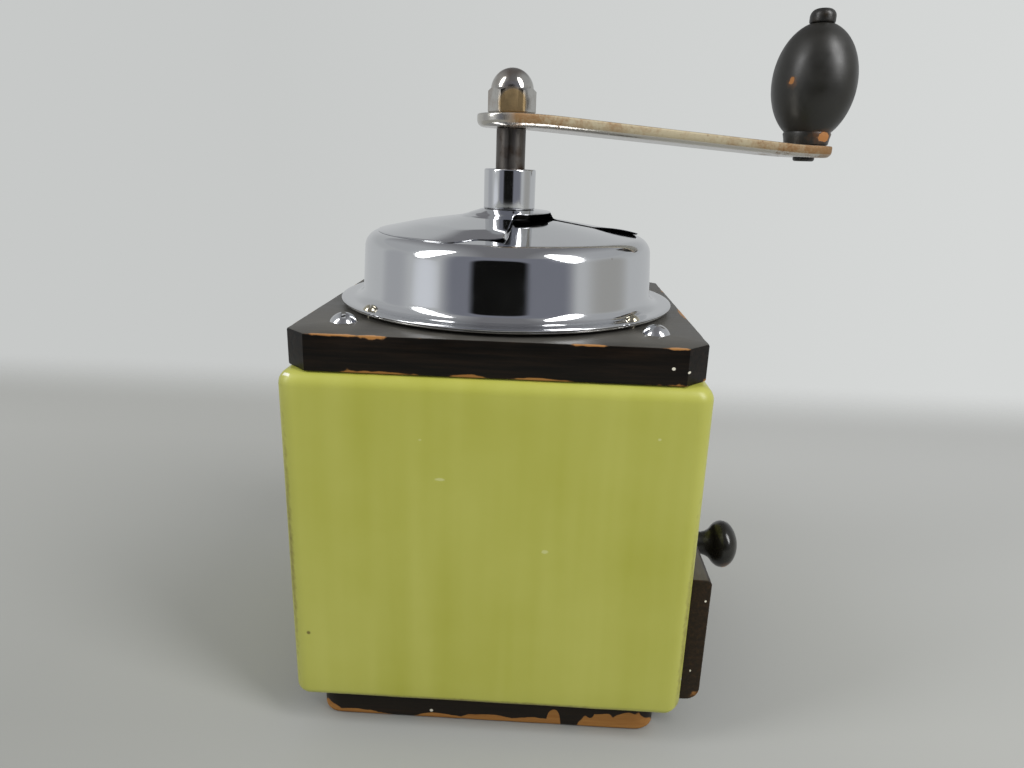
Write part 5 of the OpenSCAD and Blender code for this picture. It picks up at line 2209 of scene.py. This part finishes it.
@dataclass
class Studio:
    """Floor, soft lamps, surroundings and the photograph's viewpoint."""

    eye: Corner = (12.051, -235.584, 166.293)
    yaw: float = -0.040
    pitch: float = 0.298
    roll: float = 0.031
    focal: float = 728.06
    picture_width: float = 1024.0
    sensor: float = 36.0
    backdrop: tuple[str, str] = ("#C7C9C8", "#D6D8D7")
    # Floor colours near and far, each from left to right; their rise to the back and right is painted light
    paper_near: tuple[str, str] = ("#959693", "#A6A7A4")
    paper_far: tuple[str, str] = ("#AAABA8", "#AFB0AE")
    sweep: tuple[float, float] = (225.0, 340.0)
    apron: tuple[float, float] = (550.0, 850.0)
    across: tuple[float, float] = (-150.0, 150.0)
    beyond: tuple[float, float] = (-60.0, 170.0)
    floor_reach: float = 4000.0
    ambient: float = 0.6
    room: str = "#C0C2C3"
    upper_room: str = "#B6B8B9"
    ceiling: tuple[str, str] = ("#7A7A7D", "#B0B2B4")
    cards: tuple[Card, ...] = (
        Card("#ACAEB1", -94.0, 13.0, 0.10, 0.25, 1.0, 2.0),
        Card("#A7A7A4", 88.0, 18.0, 0.10, 0.25, 1.0, 2.0),
        Card("#DFE2E7", -62.0, 11.0, -0.15, 0.22, 1.0, 2.0),
        Card("#7B7D86", 4.0, 50.0, 0.40, 0.3, 0.55),
        Card("#121211", -3.0, 21.5, 0.12, 0.34, 0.45, 3.0),
    )

    def camera(self) -> None:
        """Camera where the photograph was taken from."""
        flat = math.cos(self.pitch)
        ahead = Vector((math.sin(self.yaw) * flat, math.cos(self.yaw) * flat, -math.sin(self.pitch)))
        level = Vector((math.cos(self.yaw), -math.sin(self.yaw), 0.0))
        upright = level.cross(ahead)
        right = math.cos(self.roll) * level + math.sin(self.roll) * upright
        up = math.cos(self.roll) * upright - math.sin(self.roll) * level
        data = bpy.data.cameras.new("Viewpoint")
        data.sensor_fit = "HORIZONTAL"
        data.sensor_width = self.sensor
        data.lens = self.focal * self.sensor / self.picture_width
        data.clip_start = 0.01
        camera = linked("Viewpoint", data)
        turn = Matrix((right, up, -ahead)).transposed().to_4x4()
        camera.matrix_world = Matrix.Translation(Vector(self.eye) * MM) @ turn
        bpy.context.scene.camera = camera

    def floor(self) -> None:
        """Matte paper floor with painted light: it pales to the back and the right, as a lit sweep of studio
        paper does.
        """
        mesh = bpy.data.meshes.new("Floor")
        reach = self.floor_reach * MM
        corners = [(-reach, -reach, 0), (reach, -reach, 0), (reach, reach, 0), (-reach, reach, 0)]
        mesh.from_pydata(corners, [], [(0, 1, 2, 3)])
        paper = bpy.data.materials.new("Studio paper")
        paper.use_nodes = True
        tree = paper.node_tree
        skin = tree.nodes["Principled BSDF"]
        axes = add_node(tree, "SeparateXYZ", {0: add_node(tree, "TexCoord", out="Object")}).node.outputs
        beside = add_node(tree, "Math", {0: axes["X"]}, operation="ABSOLUTE")
        before = chained(tree, "MULTIPLY", (axes["Y"], -1.0))
        ends = [
            add_node(tree, "MapRange", span(away, start * MM, end * MM), interpolation_type="SMOOTHSTEP")
            for away, (start, end) in ((axes["Y"], self.sweep), (beside, self.apron), (before, self.apron))
        ]
        across, beyond = (
            add_node(tree, "MapRange", span(axes[axis], low * MM, top * MM))
            for axis, (low, top) in (("X", self.across), ("Y", self.beyond))
        )
        near, far = (
            layered(tree, left, (across, right)) for left, right in (self.paper_near, self.paper_far)
        )
        colour = layered(tree, near, (beyond, far))
        feed(tree, skin, {"Base Color": colour, "Roughness": 0.9, "Specular IOR Level": 0.1})
        clear = add_node(tree, "BsdfTransparent")
        ended = chained(tree, "MAXIMUM", ends)
        mixed = add_node(tree, "MixShader", {0: ended, 1: skin.outputs[0], 2: clear})
        feed(tree, tree.nodes["Material Output"], {"Surface": mixed})
        mesh.materials.append(paper)
        linked("Floor", mesh)

    def surroundings(self) -> None:
        """Even grey room; mirrors also see its darker side behind the viewpoint."""
        world = bpy.data.worlds.new("Studio")
        bpy.context.scene.world = world
        world.use_nodes = True
        tree = world.node_tree
        tree.nodes.remove(tree.nodes["Background"])
        ray = add_node(tree, "LightPath").node.outputs
        way = add_node(tree, "TexCoord", out="Generated")
        ahead = add_node(tree, "VectorMath", {0: way, 1: (1.0, -1.0, 1.0)}, operation="MULTIPLY")
        axes = add_node(tree, "SeparateXYZ", {0: ahead}).node.outputs
        bearing = chained(tree, "ARCTAN2", (axes["X"], axes["Y"]))
        aside = add_node(tree, "Math", {0: axes["X"]}, operation="ABSOLUTE")
        aside = add_node(tree, "MapRange", span(aside, 0.2, 0.6))
        dim, lit = self.ceiling
        overhead = layered(tree, dim, (aside, lit))
        mirrored: Tone = self.room
        for tone, low, top in ((self.upper_room, 0.1, 0.35), (overhead, 0.415, 0.46)):
            risen = add_node(tree, "MapRange", span(axes["Z"], low, top), interpolation_type="SMOOTHSTEP")
            mirrored = layered(tree, mirrored, (risen, tone))
        for card in self.cards:
            mirrored = layered(tree, mirrored, (card.mask(tree, bearing, axes["Z"]), card.tone))
        # Backdrop painted paler to the right: painted light
        left, right = self.backdrop
        wall = layered(tree, left, (add_node(tree, "MapRange", span(axes["X"], -0.35, 0.5)), right))
        seen = layered(tree, wall, (ray["Is Glossy Ray"], mirrored))
        rays = [ray[f"Is {kind} Ray"] for kind in ("Camera", "Glossy", "Transmission")]
        light = add_node(tree, "Background", {"Color": linear("#FFFFFF"), "Strength": self.ambient})
        view = add_node(tree, "Background", {"Color": seen, "Strength": 1.0})
        mixed = add_node(tree, "MixShader", {0: chained(tree, "MAXIMUM", rays), 1: light, 2: view})
        feed(tree, tree.nodes["World Output"], {"Surface": mixed})

    def lamps(self) -> None:
        """Two tall soft boxes beside the viewpoint."""
        for name, at, size, power in (
            ("Left soft box", (-680.0, -303.0, 640.0), (0.28, 0.85), 3.4),
            ("Right soft box", (615.0, -419.0, 720.0), (0.32, 0.85), 6.5),
        ):
            data = bpy.data.lights.new(name, "AREA")
            data.shape = "ELLIPSE"
            data.size, data.size_y = size
            data.energy = power
            lamp = linked(name, data)
            place = Vector(at) * MM
            aim = Vector((0.0, 0.0, 0.1)) - place
            lamp.matrix_world = Matrix.Translation(place) @ aim.to_track_quat("-Z", "Y").to_matrix().to_4x4()

    def build(self) -> None:
        """Sets the stage."""
        self.camera()
        self.floor()
        self.surroundings()
        self.lamps()
        bpy.context.scene.view_settings.view_transform = "Standard"


def main() -> None:
    """Builds the studio and the mill."""
    logging.basicConfig(level=logging.INFO, format="%(name)s: %(message)s")
    Studio().build()
    Casing().build()
    hopper = Hopper()
    hopper.build()
    Shutter(hopper).build()
    crank = Crank()
    crank.build()
    HandleKnob(crank).build()
    Drawer().build()
    Works().build()
    bpy.context.view_layer.update()


if __name__ == "__main__":
    main()
